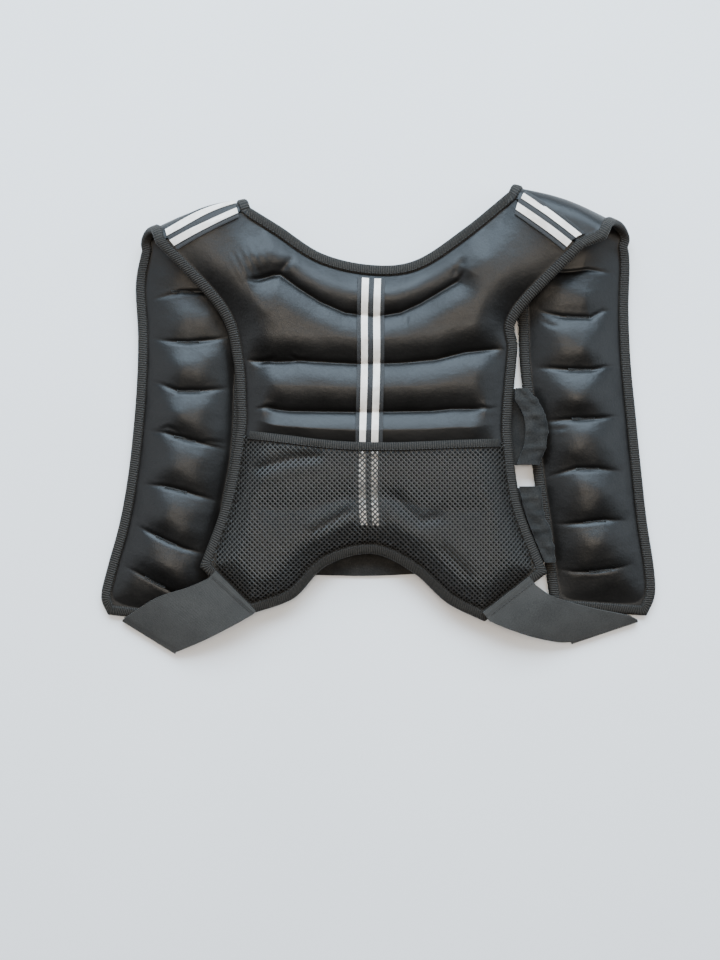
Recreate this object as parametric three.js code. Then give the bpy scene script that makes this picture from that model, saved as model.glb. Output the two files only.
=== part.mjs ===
import * as THREE from "three";

// Weighted vest lying flat, back panel up, front panels turned out to both sides.
// Units are millimetres, Z is up and +Y points to the neck.

// Overall sizes
const VEST_WIDTH = 520;
const VEST_LENGTH = 434;
const REST_HEIGHT = 36;

// Padding and edges
const SHOULDER_THICKNESS = 11;
const EDGE_THICKNESS = 2.8;
const FLANGE_WIDTH = 10.5;
const PAD_ROUNDING = 17;
const PAD_UNDERSIDE = 3.3;
const BACK_UNDERSIDE = 3;
const FRONT_PAD_HEIGHT = 17.5;
const BACK_PAD_HEIGHT = 11.5;
const SEAM_GAP = 0.8;
const CORNER_TURN = 2.4;

// Binding folded round every edge
const BINDING_WIDTH = 9.6;
const BINDING_WALL = 1.2;
const BINDING_CLEARANCE = 0.6;
const CLEARANCE = 0.3;

// Sewn channels and the tacks across the front pads
const CHANNEL_WIDTH = 19;
const CHANNEL_FLOOR = 3;
const TACK_DEPTH = 10.5;

// Striped tape
const TAPE_WIDTH = 25.4;
const TAPE_THICKNESS = 1.2;
const STRIPE_WIDTH = 6.2;
const STRIPE_SPACE = 5.2;
const STRIPE_THICKNESS = 0.5;
const SHOULDER_TAPE_REACH = 12.7;
const SHOULDER_TAPE_LIFT = 1.2;

// Mesh pocket
const MESH_THICKNESS = 1.4;
const MESH_LIFT = 18.6;
const MESH_SLOPE = 20;
const HEM_WIDTH = 8.5;

// Elastic side straps
const ELASTIC_THICKNESS = 1.8;
const CREASE_RADIUS = 2;
const SIDE_STRAP_ENDS = [0.15, 0.75];

// Wide closure straps
const CLOSURE_THICKNESS = 2.2;
const CLOSURE_WIDTH = 72;
const ROLL_RADIUS = 4.2;
const CLOSURE_CLIMB = 8.8;
const CLOSURE_TAIL = 16;

// Turned shoulders, one row per side
const SHOULDERS = {
  left: {
    seamArm: [-0.392, 0.369],
    seamNeck: [-0.231, 0.445],
    turnArm: [-0.392, 0.369],
    turnNeck: [-0.231, 0.445],
    armRadius: 15,
    neckRadius: 9.5,
    tapeLean: 8,
    flareArm: [-0.033, -0.004],
    flareNeck: [-0.004, -0.007],
  },
  right: {
    seamArm: [0.36, 0.357],
    seamNeck: [0.235, 0.477],
    turnArm: [0.4, 0.376],
    turnNeck: [0.2365, 0.4785],
    armRadius: 19,
    neckRadius: 9.5,
    tapeLean: 0,
    flareArm: [0.032, -0.004],
    flareNeck: [0.006, -0.02],
  },
};

// Back panel, one row per sewn line from the bottom edge to the neck.
// x and y are shares of the width and length, z shares of the rest height.
const BACK_PLACES = [0, 0.2, 0.3, 0.4, 0.5, 0.6, 0.7, 0.8, 1];
const BACK_ROWS = [
  {
    line: "bottom edge",
    at: 0,
    x: [-0.317, -0.233, -0.154, -0.092, -0.01, 0.063, 0.127, 0.192, 0.302],
    y: [-0.323, -0.424, -0.389, -0.318, -0.293, -0.332, -0.399, -0.438, -0.336],
    z: [0.47, 0.47, 0.42, 0.47, 0.47],
  },
  {
    line: "pocket channel",
    at: 0.2,
    x: [-0.275, -0.177, -0.125, -0.073, -0.017, 0.038, 0.092, 0.152, 0.256],
    y: [-0.18, -0.198, -0.194, -0.18, -0.173, -0.18, -0.194, -0.203, -0.189],
    z: [0.4, 0.43, 0.43, 0.43, 0.4],
  },
  {
    line: "pocket mouth",
    at: 0.38,
    x: [-0.253, -0.154, -0.11, -0.063, -0.017, 0.035, 0.087, 0.144, 0.24],
    y: [-0.032, -0.046, -0.053, -0.058, -0.06, -0.06, -0.058, -0.055, -0.051],
    z: [0.36, 0.42, 0.44, 0.42, 0.36],
  },
  {
    line: "lower channel",
    at: 0.5,
    x: [-0.252, -0.154, -0.11, -0.063, -0.015, 0.035, 0.087, 0.144, 0.24],
    y: [0.021, 0.018, 0.016, 0.014, 0.014, 0.014, 0.014, 0.014, 0.012],
    z: [0.36, 0.42, 0.44, 0.42, 0.36],
  },
  {
    line: "middle channel",
    at: 0.665,
    x: [-0.258, -0.162, -0.113, -0.063, -0.013, 0.038, 0.09, 0.148, 0.249],
    y: [0.127, 0.124, 0.12, 0.115, 0.115, 0.115, 0.118, 0.124, 0.143],
    z: [0.42, 0.44, 0.44, 0.44, 0.4],
  },
  {
    line: "upper channel",
    at: 0.835,
    x: [-0.285, -0.217, -0.158, -0.087, -0.013, 0.062, 0.131, 0.196, 0.252],
    y: [0.23, 0.272, 0.29, 0.242, 0.221, 0.242, 0.293, 0.281, 0.219],
    z: [0.61, 0.58, 0.47, 0.58, 0.6],
  },
  {
    line: "neck and shoulder seams",
    at: 1,
    x: [-0.392, -0.231, -0.177, -0.1, -0.01, 0.069, 0.154, 0.235, 0.36],
    y: [0.369, 0.445, 0.406, 0.348, 0.324, 0.334, 0.399, 0.477, 0.357],
    z: [0, 0, 0.45, 0, 0],
  },
];

// Channels of the back panel, with the places across where each starts and ends
const CHANNELS = [
  { at: 0.2, from: 0.08, to: 0.92, depth: 0.7 },
  { at: 0.38, from: 0.02, to: 0.98, depth: 0.6 },
  { at: 0.5, from: 0.1, to: 0.9, depth: 1 },
  { at: 0.665, from: 0.03, to: 0.97, depth: 1 },
  { at: 0.835, from: 0.25, to: 0.75, depth: 1 },
];

// Front panels below the turned shoulder, one row per tacked line.
// rise is the height of the pad that follows, as a share of the full pad.
const FRONT_ROWS = {
  left: [
    { arm: [-0.437, 0.29], neck: [-0.238, 0.258], rise: 0.62, tack: 0.5 },
    { arm: [-0.433, 0.18], neck: [-0.242, 0.147], rise: 0.85, tack: 0.8 },
    { arm: [-0.435, 0.076], neck: [-0.246, 0.055], rise: 1, tack: 1 },
    { arm: [-0.442, -0.032], neck: [-0.252, -0.078], rise: 1, tack: 1 },
    { arm: [-0.452, -0.134], neck: [-0.267, -0.18], rise: 1, tack: 1 },
    { arm: [-0.467, -0.233], neck: [-0.285, -0.304], rise: 0.88, tack: 0.9 },
    { arm: [-0.488, -0.325], neck: [-0.3, -0.396], rise: 0.55, tack: 0.6 },
    { arm: [-0.5, -0.39], neck: [-0.31, -0.438], rise: 0.5, tack: 0 },
    { arm: [-0.489, -0.427], neck: [-0.319, -0.45], rise: 0.4, tack: 0 },
  ],
  right: [
    { arm: [0.456, 0.332], neck: [0.246, 0.323], rise: 0.62, tack: 0.5 },
    { arm: [0.454, 0.233], neck: [0.258, 0.244], rise: 0.85, tack: 0.8 },
    { arm: [0.458, 0.118], neck: [0.263, 0.113], rise: 1, tack: 1 },
    { arm: [0.467, 0.005], neck: [0.275, -0.005], rise: 1, tack: 1 },
    { arm: [0.477, -0.115], neck: [0.288, -0.129], rise: 1, tack: 1 },
    { arm: [0.487, -0.224], neck: [0.3, -0.23], rise: 0.88, tack: 0.9 },
    { arm: [0.5, -0.327], neck: [0.31, -0.336], rise: 0.6, tack: 0.6 },
    { arm: [0.502, -0.387], neck: [0.315, -0.378], rise: 0.5, tack: 0 },
    { arm: [0.488, -0.429], neck: [0.319, -0.415], rise: 0.4, tack: 0 },
  ],
};

// Side straps, one row per place along the band, z in shares of the rest height
const SIDE_STRAPS = {
  left: [
    { place: "sewn end", upper: [-0.305, -0.349], lower: [-0.225, -0.427], z: 0.6 },
    { place: "past the corner", upper: [-0.343, -0.369], lower: [-0.262, -0.452], z: 0.57 },
    { place: "over the front panel", upper: [-0.4, -0.392], lower: [-0.309, -0.481], z: 0.45 },
    { place: "before the fold", upper: [-0.45, -0.43], lower: [-0.35, -0.503], z: 0.27 },
    { place: "fold", upper: [-0.462, -0.44], lower: [-0.366, -0.511], z: 0.17 },
  ],
  right: [
    { place: "sewn end", upper: [0.284, -0.363], lower: [0.201, -0.441], z: 0.6 },
    { place: "past the corner", upper: [0.318, -0.389], lower: [0.235, -0.458], z: 0.57 },
    { place: "over the front panel", upper: [0.385, -0.413], lower: [0.28, -0.476], z: 0.45 },
    { place: "before the fold", upper: [0.45, -0.43], lower: [0.325, -0.488], z: 0.27 },
    { place: "fold", upper: [0.472, -0.441], lower: [0.352, -0.489], z: 0.17 },
  ],
};

// Closure straps, one row per strap: middle line, reach of the rolled end, left end
const CLOSURE_STRAPS = {
  upper: { middle: [-0.03, -0.03, -0.02], reach: [0.272, 0.302, 0.307, 0.292] },
  lower: { middle: [-0.25, -0.263, -0.232], reach: [0.296, 0.3, 0.316, 0.321] },
};

const UP = new THREE.Vector3(0, 0, 1);

const finish = {
  neoprene: new THREE.MeshStandardMaterial({ color: 0x23242a, roughness: 0.62, metalness: 0 }),
  binding: new THREE.MeshStandardMaterial({ color: 0x1c1b1a, roughness: 0.9, metalness: 0 }),
  mesh: new THREE.MeshStandardMaterial({ color: 0x17171a, roughness: 0.8, metalness: 0 }),
  tape: new THREE.MeshStandardMaterial({ color: 0x2b2c31, roughness: 0.8, metalness: 0 }),
  stripe: new THREE.MeshStandardMaterial({ color: 0xe6dfd4, roughness: 0.5, metalness: 0 }),
  elastic: new THREE.MeshStandardMaterial({ color: 0x34332f, roughness: 0.9, metalness: 0 }),
  closure: new THREE.MeshStandardMaterial({ color: 0x1d1d1f, roughness: 0.95, metalness: 0 }),
};

// A point from shares of the width and length
function plan(share, z) {
  return new THREE.Vector3(share[0] * VEST_WIDTH, share[1] * VEST_LENGTH, z);
}

function mix(a, b, t) {
  return a.clone().lerp(b, t);
}

function blend(a, b, t) {
  return a + (b - a) * t;
}

function smoothStep(t) {
  const u = Math.min(1, Math.max(0, t));
  return u * u * (3 - 2 * u);
}

// A smooth curve through values that stand at rising places
function curveAt(places, values, t) {
  const last = places.length - 1;
  let k = 0;
  while (k < last - 1 && t > places[k + 1]) {
    k += 1;
  }
  const slope = (i) => {
    const a = Math.max(0, i - 1);
    const b = Math.min(last, i + 1);
    return (values[b] - values[a]) / (places[b] - places[a]);
  };
  const step = places[k + 1] - places[k];
  const q = (t - places[k]) / step;
  const stay = (1 + 2 * q) * (1 - q) * (1 - q);
  const leave = q * (1 - q) * (1 - q) * step;
  const arrive = q * q * (q - 1) * step;
  return stay * values[k] + (1 - stay) * values[k + 1] + leave * slope(k) + arrive * slope(k + 1);
}

// A curve with corners at the two inner places where the shoulders start
function cornered(places, values, s) {
  const a = 1;
  const b = places.length - 2;
  if (s <= places[a]) {
    return blend(values[0], values[a], s / places[a]);
  }
  if (s >= places[b]) {
    return blend(values[b], values[b + 1], (s - places[b]) / (1 - places[b]));
  }
  return curveAt(places.slice(a, b + 1), values.slice(a, b + 1), s);
}

// Turned shoulder: lead over the top, then half a turn down to the lower layer
const LOW_LAYER = SHOULDER_THICKNESS / 2;

function shoulderAt(side, s) {
  const row = SHOULDERS[side];
  const radius = blend(row.armRadius, row.neckRadius, s);
  const top = LOW_LAYER + 2 * radius;
  const seam = mix(plan(row.seamArm, top), plan(row.seamNeck, top), s);
  const turn = mix(plan(row.turnArm, top), plan(row.turnNeck, top), s);
  const flare = mix(plan(row.flareArm, 0), plan(row.flareNeck, 0), s);
  const axis = plan(row.turnNeck, 0).sub(plan(row.turnArm, 0)).normalize();
  const out = new THREE.Vector3(-axis.y, axis.x, 0);
  if (out.y < 0) {
    out.negate();
  }
  return { radius, seam, turn, flare, out, lead: seam.distanceTo(turn) };
}

function shoulderPoint(side, s, travel) {
  const at = shoulderAt(side, s);
  if (travel <= at.lead) {
    return mix(at.seam, at.turn, at.lead > 0 ? travel / at.lead : 0);
  }
  const angle = (travel - at.lead) / at.radius;
  return at.turn
    .clone()
    .addScaledVector(at.out, at.radius * Math.sin(angle))
    .addScaledVector(UP, -at.radius * (1 - Math.cos(angle)))
    .addScaledVector(at.flare, smoothStep((angle - 0.8) / (Math.PI - 0.8)));
}

// Back panel middle surface at a place across (s) and along (v)
function backRowPoint(row, s) {
  const x = cornered(BACK_PLACES, row.x, s) * VEST_WIDTH;
  const y = cornered(BACK_PLACES, row.y, s) * VEST_LENGTH;
  const heights = row.z.map((z) => z * REST_HEIGHT);
  if (row.at === 1) {
    heights[0] = shoulderAt("left", 0).turn.z;
    heights[1] = shoulderAt("left", 1).turn.z;
    heights[3] = shoulderAt("right", 1).turn.z;
    heights[4] = shoulderAt("right", 0).turn.z;
  }
  const z = cornered([0, 0.2, 0.5, 0.8, 1], heights, s);
  return new THREE.Vector3(x, y, z);
}

function backPoint(s, v) {
  const places = BACK_ROWS.map((row) => row.at);
  const points = BACK_ROWS.map((row) => backRowPoint(row, s));
  return new THREE.Vector3(
    curveAt(places, points.map((p) => p.x), v),
    curveAt(places, points.map((p) => p.y), v),
    curveAt(places, points.map((p) => p.z), v),
  );
}

// Front panel middle surface across (s, arm side to neck side) and along (v)
const FRONT_LAYER = PAD_UNDERSIDE;

function frontPoint(side, s, v) {
  const at = shoulderAt(side, s);
  const turned = at.lead + Math.PI * at.radius;
  if (v <= 0) {
    return shoulderPoint(side, s, turned * (1 + v));
  }
  const exit = shoulderPoint(side, s, turned);
  const rows = FRONT_ROWS[side];
  const points = [exit];
  for (const row of rows) {
    points.push(mix(plan(row.arm, FRONT_LAYER), plan(row.neck, FRONT_LAYER), s));
  }
  const places = points.map((p, k) => k);
  return new THREE.Vector3(
    curveAt(places, points.map((p) => p.x), v),
    curveAt(places, points.map((p) => p.y), v),
    blend(exit.z, FRONT_LAYER, smoothStep(v)),
  );
}

// Solids
function closedMesh(name, points, faces, material) {
  let volume = 0;
  for (const [a, b, c] of faces) {
    volume += points[a].dot(points[b].clone().cross(points[c]));
  }
  const index = [];
  for (const [a, b, c] of faces) {
    index.push(...(volume > 0 ? [a, b, c] : [a, c, b]));
  }
  const geometry = new THREE.BufferGeometry();
  const flat = points.flatMap((p) => [p.x, p.y, p.z]);
  geometry.setAttribute("position", new THREE.Float32BufferAttribute(flat, 3));
  geometry.setIndex(index);
  geometry.computeVertexNormals();
  const mesh = new THREE.Mesh(geometry, material);
  mesh.name = name;
  return mesh;
}

// A closed solid between two grids of the same size
function sheetMesh(name, upper, lower, material) {
  const rows = upper.length;
  const columns = upper[0].length;
  const points = [...upper.flat(), ...lower.flat()];
  const top = (j, i) => j * columns + i;
  const under = (j, i) => rows * columns + j * columns + i;
  const faces = [];
  const quad = (a, b, c, d) => faces.push([a, b, c], [a, c, d]);
  for (let j = 0; j < rows - 1; j += 1) {
    for (let i = 0; i < columns - 1; i += 1) {
      faces.push([top(j, i), top(j, i + 1), top(j + 1, i + 1)]);
      faces.push([top(j, i), top(j + 1, i + 1), top(j + 1, i)]);
      faces.push([under(j, i), under(j + 1, i + 1), under(j, i + 1)]);
      faces.push([under(j, i), under(j + 1, i), under(j + 1, i + 1)]);
    }
  }
  for (let i = 0; i < columns - 1; i += 1) {
    quad(top(0, i + 1), top(0, i), under(0, i), under(0, i + 1));
    quad(top(rows - 1, i), top(rows - 1, i + 1), under(rows - 1, i + 1), under(rows - 1, i));
  }
  for (let j = 0; j < rows - 1; j += 1) {
    quad(top(j, 0), top(j + 1, 0), under(j + 1, 0), under(j, 0));
    quad(top(j + 1, columns - 1), top(j, columns - 1), under(j, columns - 1), under(j + 1, columns - 1));
  }
  return closedMesh(name, points, faces, material);
}

// A folded edge tape: rings of eight points, open towards the panel.
// The faces that touch the panel split the same way as the faces of the panel.
const UPPER_SLOT = 7;
const LOWER_SLOT = 5;

function foldedMesh(name, rings, material) {
  const points = rings.map((ring) => ring.places).flat();
  const size = 8;
  const faces = [];
  for (let j = 0; j < rings.length - 1; j += 1) {
    for (let k = 0; k < size; k += 1) {
      const a = j * size + k;
      const b = j * size + ((k + 1) % size);
      const crossed = (k === UPPER_SLOT && !rings[j].rising) || (k === LOWER_SLOT && rings[j].rising);
      if (crossed) {
        faces.push([a, b, a + size], [b, b + size, a + size]);
      } else {
        faces.push([a, b, b + size], [a, b + size, a + size]);
      }
    }
  }
  const cap = (first, turn) => {
    for (const [a, b, c] of [[0, 1, 2], [0, 2, 7], [7, 2, 3], [7, 3, 6], [6, 3, 4], [6, 4, 5]]) {
      faces.push(turn ? [first + a, first + c, first + b] : [first + a, first + b, first + c]);
    }
  };
  cap(0, true);
  cap((rings.length - 1) * size, false);
  return closedMesh(name, points, faces, material);
}

// Unit normals of a grid of points
function gridNormals(grid) {
  const rows = grid.length;
  const columns = grid[0].length;
  return grid.map((line, j) =>
    line.map((p, i) => {
      const across = line[Math.min(columns - 1, i + 1)].clone().sub(line[Math.max(0, i - 1)]);
      const along = grid[Math.min(rows - 1, j + 1)][i].clone().sub(grid[Math.max(0, j - 1)][i]);
      return across.cross(along).normalize();
    }),
  );
}

// Shortest distance from a point to a line of points
function distanceToLine(point, line) {
  let best = Infinity;
  const near = new THREE.Vector3();
  for (let k = 0; k < line.length - 1; k += 1) {
    new THREE.Line3(line[k], line[k + 1]).closestPointToPoint(point, true, near);
    best = Math.min(best, near.distanceTo(point));
  }
  return best;
}

// How far the padding has swollen at a distance from the bound edge
function swell(distance, reach) {
  const beyond = Math.max(0, distance - FLANGE_WIDTH - 2 * CLEARANCE);
  return Math.sin((Math.PI / 2) * Math.min(1, beyond / reach));
}

function offsetGrid(grid, normals, amount) {
  return grid.map((line, j) => line.map((p, i) => p.clone().addScaledVector(normals[j][i], amount(j, i))));
}

// Rings of a folded tape along an edge. Each station holds the grid place on the
// edge and the grid place where the flange inside it ends.
function foldedRings(grid, normals, stations, flange, halfEdge, width) {
  const last = stations.length - 1;
  const slot = halfEdge + BINDING_CLEARANCE;
  const skin = slot + BINDING_WALL;
  return stations.map((station, k) => {
    const [j, i, jn, ni] = station;
    const shift = new THREE.Vector3();
    if (station.back) {
      const next = stations[k < last / 2 ? k + 1 : k - 1];
      const far = stations[k < last / 2 ? k + 2 : k - 2];
      const to = next[0] === j && next[1] === i ? far : next;
      shift.copy(grid[to[0]][to[1]]).sub(grid[j][i]).setLength(station.back);
    }
    const place = (reach, lift) => {
      const t = -reach / flange;
      const normal = normals[j][i].clone().lerp(normals[jn][ni], t);
      return grid[j][i].clone().lerp(grid[jn][ni], t).add(shift).addScaledVector(normal, lift);
    };
    const inner = -(width - BINDING_CLEARANCE - BINDING_WALL);
    const outer = BINDING_CLEARANCE + BINDING_WALL;
    const next = stations[Math.min(last, k + 1)];
    const rising = (next[0] - j) * (ni - i) + (next[1] - i) * (jn - j) > 0;
    const places = [
      place(inner, slot),
      place(inner, skin),
      place(outer, skin),
      place(outer, -skin),
      place(inner, -skin),
      place(inner, -slot),
      place(BINDING_CLEARANCE, -slot),
      place(BINDING_CLEARANCE, slot),
    ];
    return { places, rising };
  });
}

// A station drawn back from its grid place along the edge
function drawnBack(station, back = SEAM_GAP / 2) {
  station.back = back;
  return station;
}

// Places across a shoulder strap, shared by the back panel and the front panel
const STRAP_PLACES = [0.3, 0.45, 0.6, 0.75];

function seamFlange(side) {
  const at0 = shoulderAt(side, 0).seam;
  const at1 = shoulderAt(side, 1).seam;
  return FLANGE_WIDTH / at1.distanceTo(at0);
}

// Place where a path from an edge has gone the given distance away from that edge
function placeAway(pointAt, edge, reach, first) {
  let place = first;
  for (let round = 0; round < 4; round += 1) {
    place *= reach / Math.max(1, distanceToLine(pointAt(place), edge));
  }
  return place;
}

const EDGE_SAMPLES = Array.from({ length: 49 }, (item, k) => k / 48);
const BACK_LEFT_EDGE = EDGE_SAMPLES.map((v) => backPoint(0, v));
const BACK_RIGHT_EDGE = EDGE_SAMPLES.map((v) => backPoint(1, v));
const BACK_BOTTOM_EDGE = EDGE_SAMPLES.map((s) => backPoint(s, 0));
const BACK_TOP_EDGE = EDGE_SAMPLES.map((s) => backPoint(s, 1));

// Places across the back panel for a row at v
function backColumns(v) {
  const flangeLeft = placeAway((s) => backPoint(s, v), BACK_LEFT_EDGE, FLANGE_WIDTH, 0.03);
  const flangeRight = placeAway((s) => backPoint(1 - s, v), BACK_RIGHT_EDGE, FLANGE_WIDTH, 0.03);
  const middle = backPoint(0.48, v).distanceTo(backPoint(0.52, v)) / 0.04;
  const tape = TAPE_WIDTH / 2 / middle;
  const left = [0, flangeLeft, ...STRAP_PLACES.map((p) => p * 0.2)];
  left.push((1 - seamFlange("left")) * 0.2, 0.2);
  const right = [0, flangeRight, ...STRAP_PLACES.map((p) => p * 0.2)];
  right.push((1 - seamFlange("right")) * 0.2, 0.2);
  const inner = [0.265, 0.33, 0.4, 0.5 - tape, 0.5 + tape, 0.6, 0.67, 0.735];
  return [...left, ...inner, ...right.map((s) => 1 - s).reverse()];
}

// Rows of the back panel: the strips between sewn lines, closer beside each line
function backRowPlaces() {
  const rows = [0, 0.045, 0.095, 0.15, 0.178, 0.2, 0.222, 0.27, 0.32, 0.358, 0.38];
  rows.push(0.402, 0.44, 0.476, 0.5, 0.525, 0.582, 0.64, 0.665, 0.69, 0.75, 0.81, 0.835);
  rows.push(0.86, 0.91, 0.955, 1);
  return rows;
}

const BOTTOM_FLANGE_ROW = 1;
const MOUTH_ROW = 10;
const BESIDE_CHANNEL = [4, 6, 9, 11, 13, 15, 17, 19, 21, 23];

function backGrid() {
  const places = backRowPlaces();
  const last = places.length - 1;
  const grid = places.map((v) => backColumns(v).map((s) => backPoint(s, v)));
  const columns = backColumns(1);
  columns.forEach((s, i) => {
    const reach = s < 0.2 || s > 0.8 ? SHOULDER_TAPE_REACH : FLANGE_WIDTH;
    const down = placeAway((v) => backPoint(s, 1 - v), BACK_TOP_EDGE, reach, 0.04);
    grid[last - 1][i] = backPoint(s, 1 - down);
    const low = backColumns(0)[i];
    const up = placeAway((v) => backPoint(low, v), BACK_BOTTOM_EDGE, FLANGE_WIDTH, 0.04);
    grid[1][i] = backPoint(low, up);
  });
  return grid;
}

// Height of the back padding above its middle surface
function backPadding(s, v, distance) {
  const half = EDGE_THICKNESS / 2;
  const shoulder = smoothStep((v - 0.86) / 0.12) * smoothStep((Math.abs(s - 0.5) - 0.22) / 0.06);
  const full = blend(BACK_PAD_HEIGHT, SHOULDER_THICKNESS / 2, shoulder);
  let dent = 0;
  for (const channel of CHANNELS) {
    const away = (Math.abs(v - channel.at) * 0.66 * VEST_LENGTH) / CHANNEL_WIDTH;
    const near = Math.pow(Math.max(0, 1 - away), 2);
    const ends = smoothStep((s - channel.from) / 0.08) * smoothStep((channel.to - s) / 0.08);
    dent = Math.max(dent, near * ends * channel.depth);
  }
  const height = blend(full, CHANNEL_FLOOR, dent);
  return blend(half, height, swell(distance, PAD_ROUNDING));
}

function build() {
  const vest = new THREE.Group();
  vest.name = "weighted_vest";
  const half = EDGE_THICKNESS / 2;

  // Back panel
  const grid = backGrid();
  const rows = grid.length;
  const columns = grid[0].length;
  const top = rows - 1;
  const leftNeck = 7;
  const rightNeck = columns - 1 - leftNeck;
  const normals = grid.map((line) => line.map(() => UP.clone()));
  const rowPlaces = backRowPlaces();
  const edgeLines = [
    grid.map((line) => line[0]),
    grid.map((line) => line[columns - 1]),
    grid[0],
    grid[top].slice(leftNeck, rightNeck + 1),
  ];
  const nearest = (p) => Math.min(...edgeLines.map((e) => distanceToLine(p, e)));
  const distance = grid.map((line) => line.map(nearest));
  for (const i of [leftNeck - 1, rightNeck + 1]) {
    distance[top - 1][i] = FLANGE_WIDTH;
  }
  const above = grid.map((line, j) =>
    line.map((p, i) => backPadding(backColumns(rowPlaces[j])[i], rowPlaces[j], distance[j][i])),
  );
  const below = grid.map((line, j) =>
    line.map((p, i) => {
      const s = backColumns(rowPlaces[j])[i];
      const aside = smoothStep((Math.abs(s - 0.5) - 0.22) / 0.06);
      const shoulder = smoothStep((rowPlaces[j] - 0.86) / 0.12) * aside;
      const full = blend(BACK_UNDERSIDE, SHOULDER_THICKNESS / 2, shoulder);
      return blend(half, full, swell(distance[j][i], PAD_ROUNDING));
    }),
  );
  const seamShift = (line, j, i) => {
    const p = line[i].clone();
    if (j === top && (i < leftNeck || i > rightNeck)) {
      const away = grid[top - 1][i].clone().sub(p).setZ(0).normalize();
      p.addScaledVector(away, SEAM_GAP / 2);
    }
    return p;
  };
  const shifted = grid.map((line, j) => line.map((p, i) => seamShift(line, j, i)));
  const backTop = offsetGrid(shifted, normals, (j, i) => above[j][i]);
  const backUnder = offsetGrid(shifted, normals, (j, i) => -below[j][i]);
  vest.add(sheetMesh("back_panel", backTop, backUnder, finish.neoprene));

  // Neck binding and the binding down both sides and round the bottom
  const neckStations = [drawnBack([top, leftNeck, top, leftNeck - 1])];
  neckStations.push(drawnBack([top, leftNeck, top - 1, leftNeck], CORNER_TURN));
  for (let i = leftNeck + 1; i < rightNeck; i += 1) {
    neckStations.push([top, i, top - 1, i]);
  }
  neckStations.push(drawnBack([top, rightNeck, top - 1, rightNeck], CORNER_TURN));
  neckStations.push(drawnBack([top, rightNeck, top, rightNeck + 1]));
  const neckRings = foldedRings(grid, normals, neckStations, FLANGE_WIDTH, half, BINDING_WIDTH);
  vest.add(foldedMesh("binding_neck", neckRings, finish.binding));
  const bound = (j) => j > 1 && j < top && (j > 18 || !BESIDE_CHANNEL.includes(j));
  const sideRows = rowPlaces.map((v, j) => j).filter(bound);
  const backStations = [drawnBack([top, 0, top, 1])];
  backStations.push(...sideRows.toReversed().map((j) => [j, 0, j, 1]));
  backStations.push([1, 0, 1, 1], [0, 0, 1, 1]);
  for (let i = 2; i < columns - 2; i += 1) {
    backStations.push([0, i, 1, i]);
  }
  backStations.push([0, columns - 1, 1, columns - 2], [1, columns - 1, 1, columns - 2]);
  backStations.push(...sideRows.map((j) => [j, columns - 1, j, columns - 2]));
  backStations.push(drawnBack([top, columns - 1, top, columns - 2]));
  const backRings = foldedRings(grid, normals, backStations, FLANGE_WIDTH, half, BINDING_WIDTH);
  vest.add(foldedMesh("binding_back", backRings, finish.binding));

  // Mesh pocket over the lower back and its hem
  const meshGrid = [];
  for (let j = BOTTOM_FLANGE_ROW; j <= MOUTH_ROW; j += 1) {
    if (BESIDE_CHANNEL.includes(j)) {
      continue;
    }
    const line = [];
    for (let i = 1; i < columns - 1; i += 1) {
      const edge = Math.min(...edgeLines.slice(0, 3).map((e) => distanceToLine(grid[j][i], e)));
      const rise = Math.sin((Math.PI / 2) * Math.min(1, Math.max(0, edge - FLANGE_WIDTH) / MESH_SLOPE));
      const low = half + MESH_THICKNESS / 2 + 3 * BINDING_CLEARANCE + BINDING_WALL;
      line.push(grid[j][i].clone().addScaledVector(UP, blend(low, MESH_LIFT, rise)));
    }
    meshGrid.push(line);
  }
  const meshNormals = gridNormals(meshGrid);
  const meshUpper = offsetGrid(meshGrid, meshNormals, () => MESH_THICKNESS / 2);
  const meshLower = offsetGrid(meshGrid, meshNormals, () => -MESH_THICKNESS / 2);
  vest.add(sheetMesh("mesh_pocket", meshUpper, meshLower, finish.mesh));
  const mouth = meshGrid.length - 1;
  const hemStations = meshGrid[0].map((p, i) => [mouth, i, mouth - 1, i]);
  const hemReach = meshGrid[mouth][leftNeck].distanceTo(meshGrid[mouth - 1][leftNeck]);
  const hemRings = foldedRings(meshGrid, meshNormals, hemStations, hemReach, MESH_THICKNESS / 2, HEM_WIDTH);
  vest.add(foldedMesh("pocket_hem", hemRings, finish.binding));

  // Centre tape and its two stripes
  const tapeLeft = leftNeck + 4;
  const tapeLines = [];
  for (let j = 2; j < top; j += 1) {
    tapeLines.push([
      [backTop[j][tapeLeft], normals[j][tapeLeft]],
      [backTop[j][tapeLeft + 1], normals[j][tapeLeft + 1]],
    ]);
  }
  addTape(vest, "back", tapeLines, CLEARANCE);

  // Front panels, shoulder tapes, front bindings
  const frontGrids = {};
  for (const side of ["left", "right"]) {
    frontGrids[side] = addFront(vest, side, { grid, normals, backTop, leftNeck, rightNeck, top, columns });
  }

  // Side straps
  for (const side of ["left", "right"]) {
    addSideStrap(vest, side);
  }

  // Closure straps
  addClosureStrap(vest, "upper", frontGrids);
  addClosureStrap(vest, "lower", frontGrids);

  const box = new THREE.Box3().setFromObject(vest);
  const middle = box.getCenter(new THREE.Vector3());
  vest.traverse((node) => {
    if (node.isMesh) {
      node.geometry.translate(-middle.x, -middle.y, -box.min.z);
    }
  });
  return vest;
}

// A place at a share of the way along a bent line of places and normals
function alongLine(line, share) {
  const lengths = [0];
  for (let k = 1; k < line.length; k += 1) {
    lengths.push(lengths[k - 1] + line[k][0].distanceTo(line[k - 1][0]));
  }
  const want = share * lengths[lengths.length - 1];
  let k = 1;
  while (k < line.length - 1 && lengths[k] < want) {
    k += 1;
  }
  const t = (want - lengths[k - 1]) / (lengths[k] - lengths[k - 1]);
  return [mix(line[k - 1][0], line[k][0], t), mix(line[k - 1][1], line[k][1], t).normalize()];
}

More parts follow.
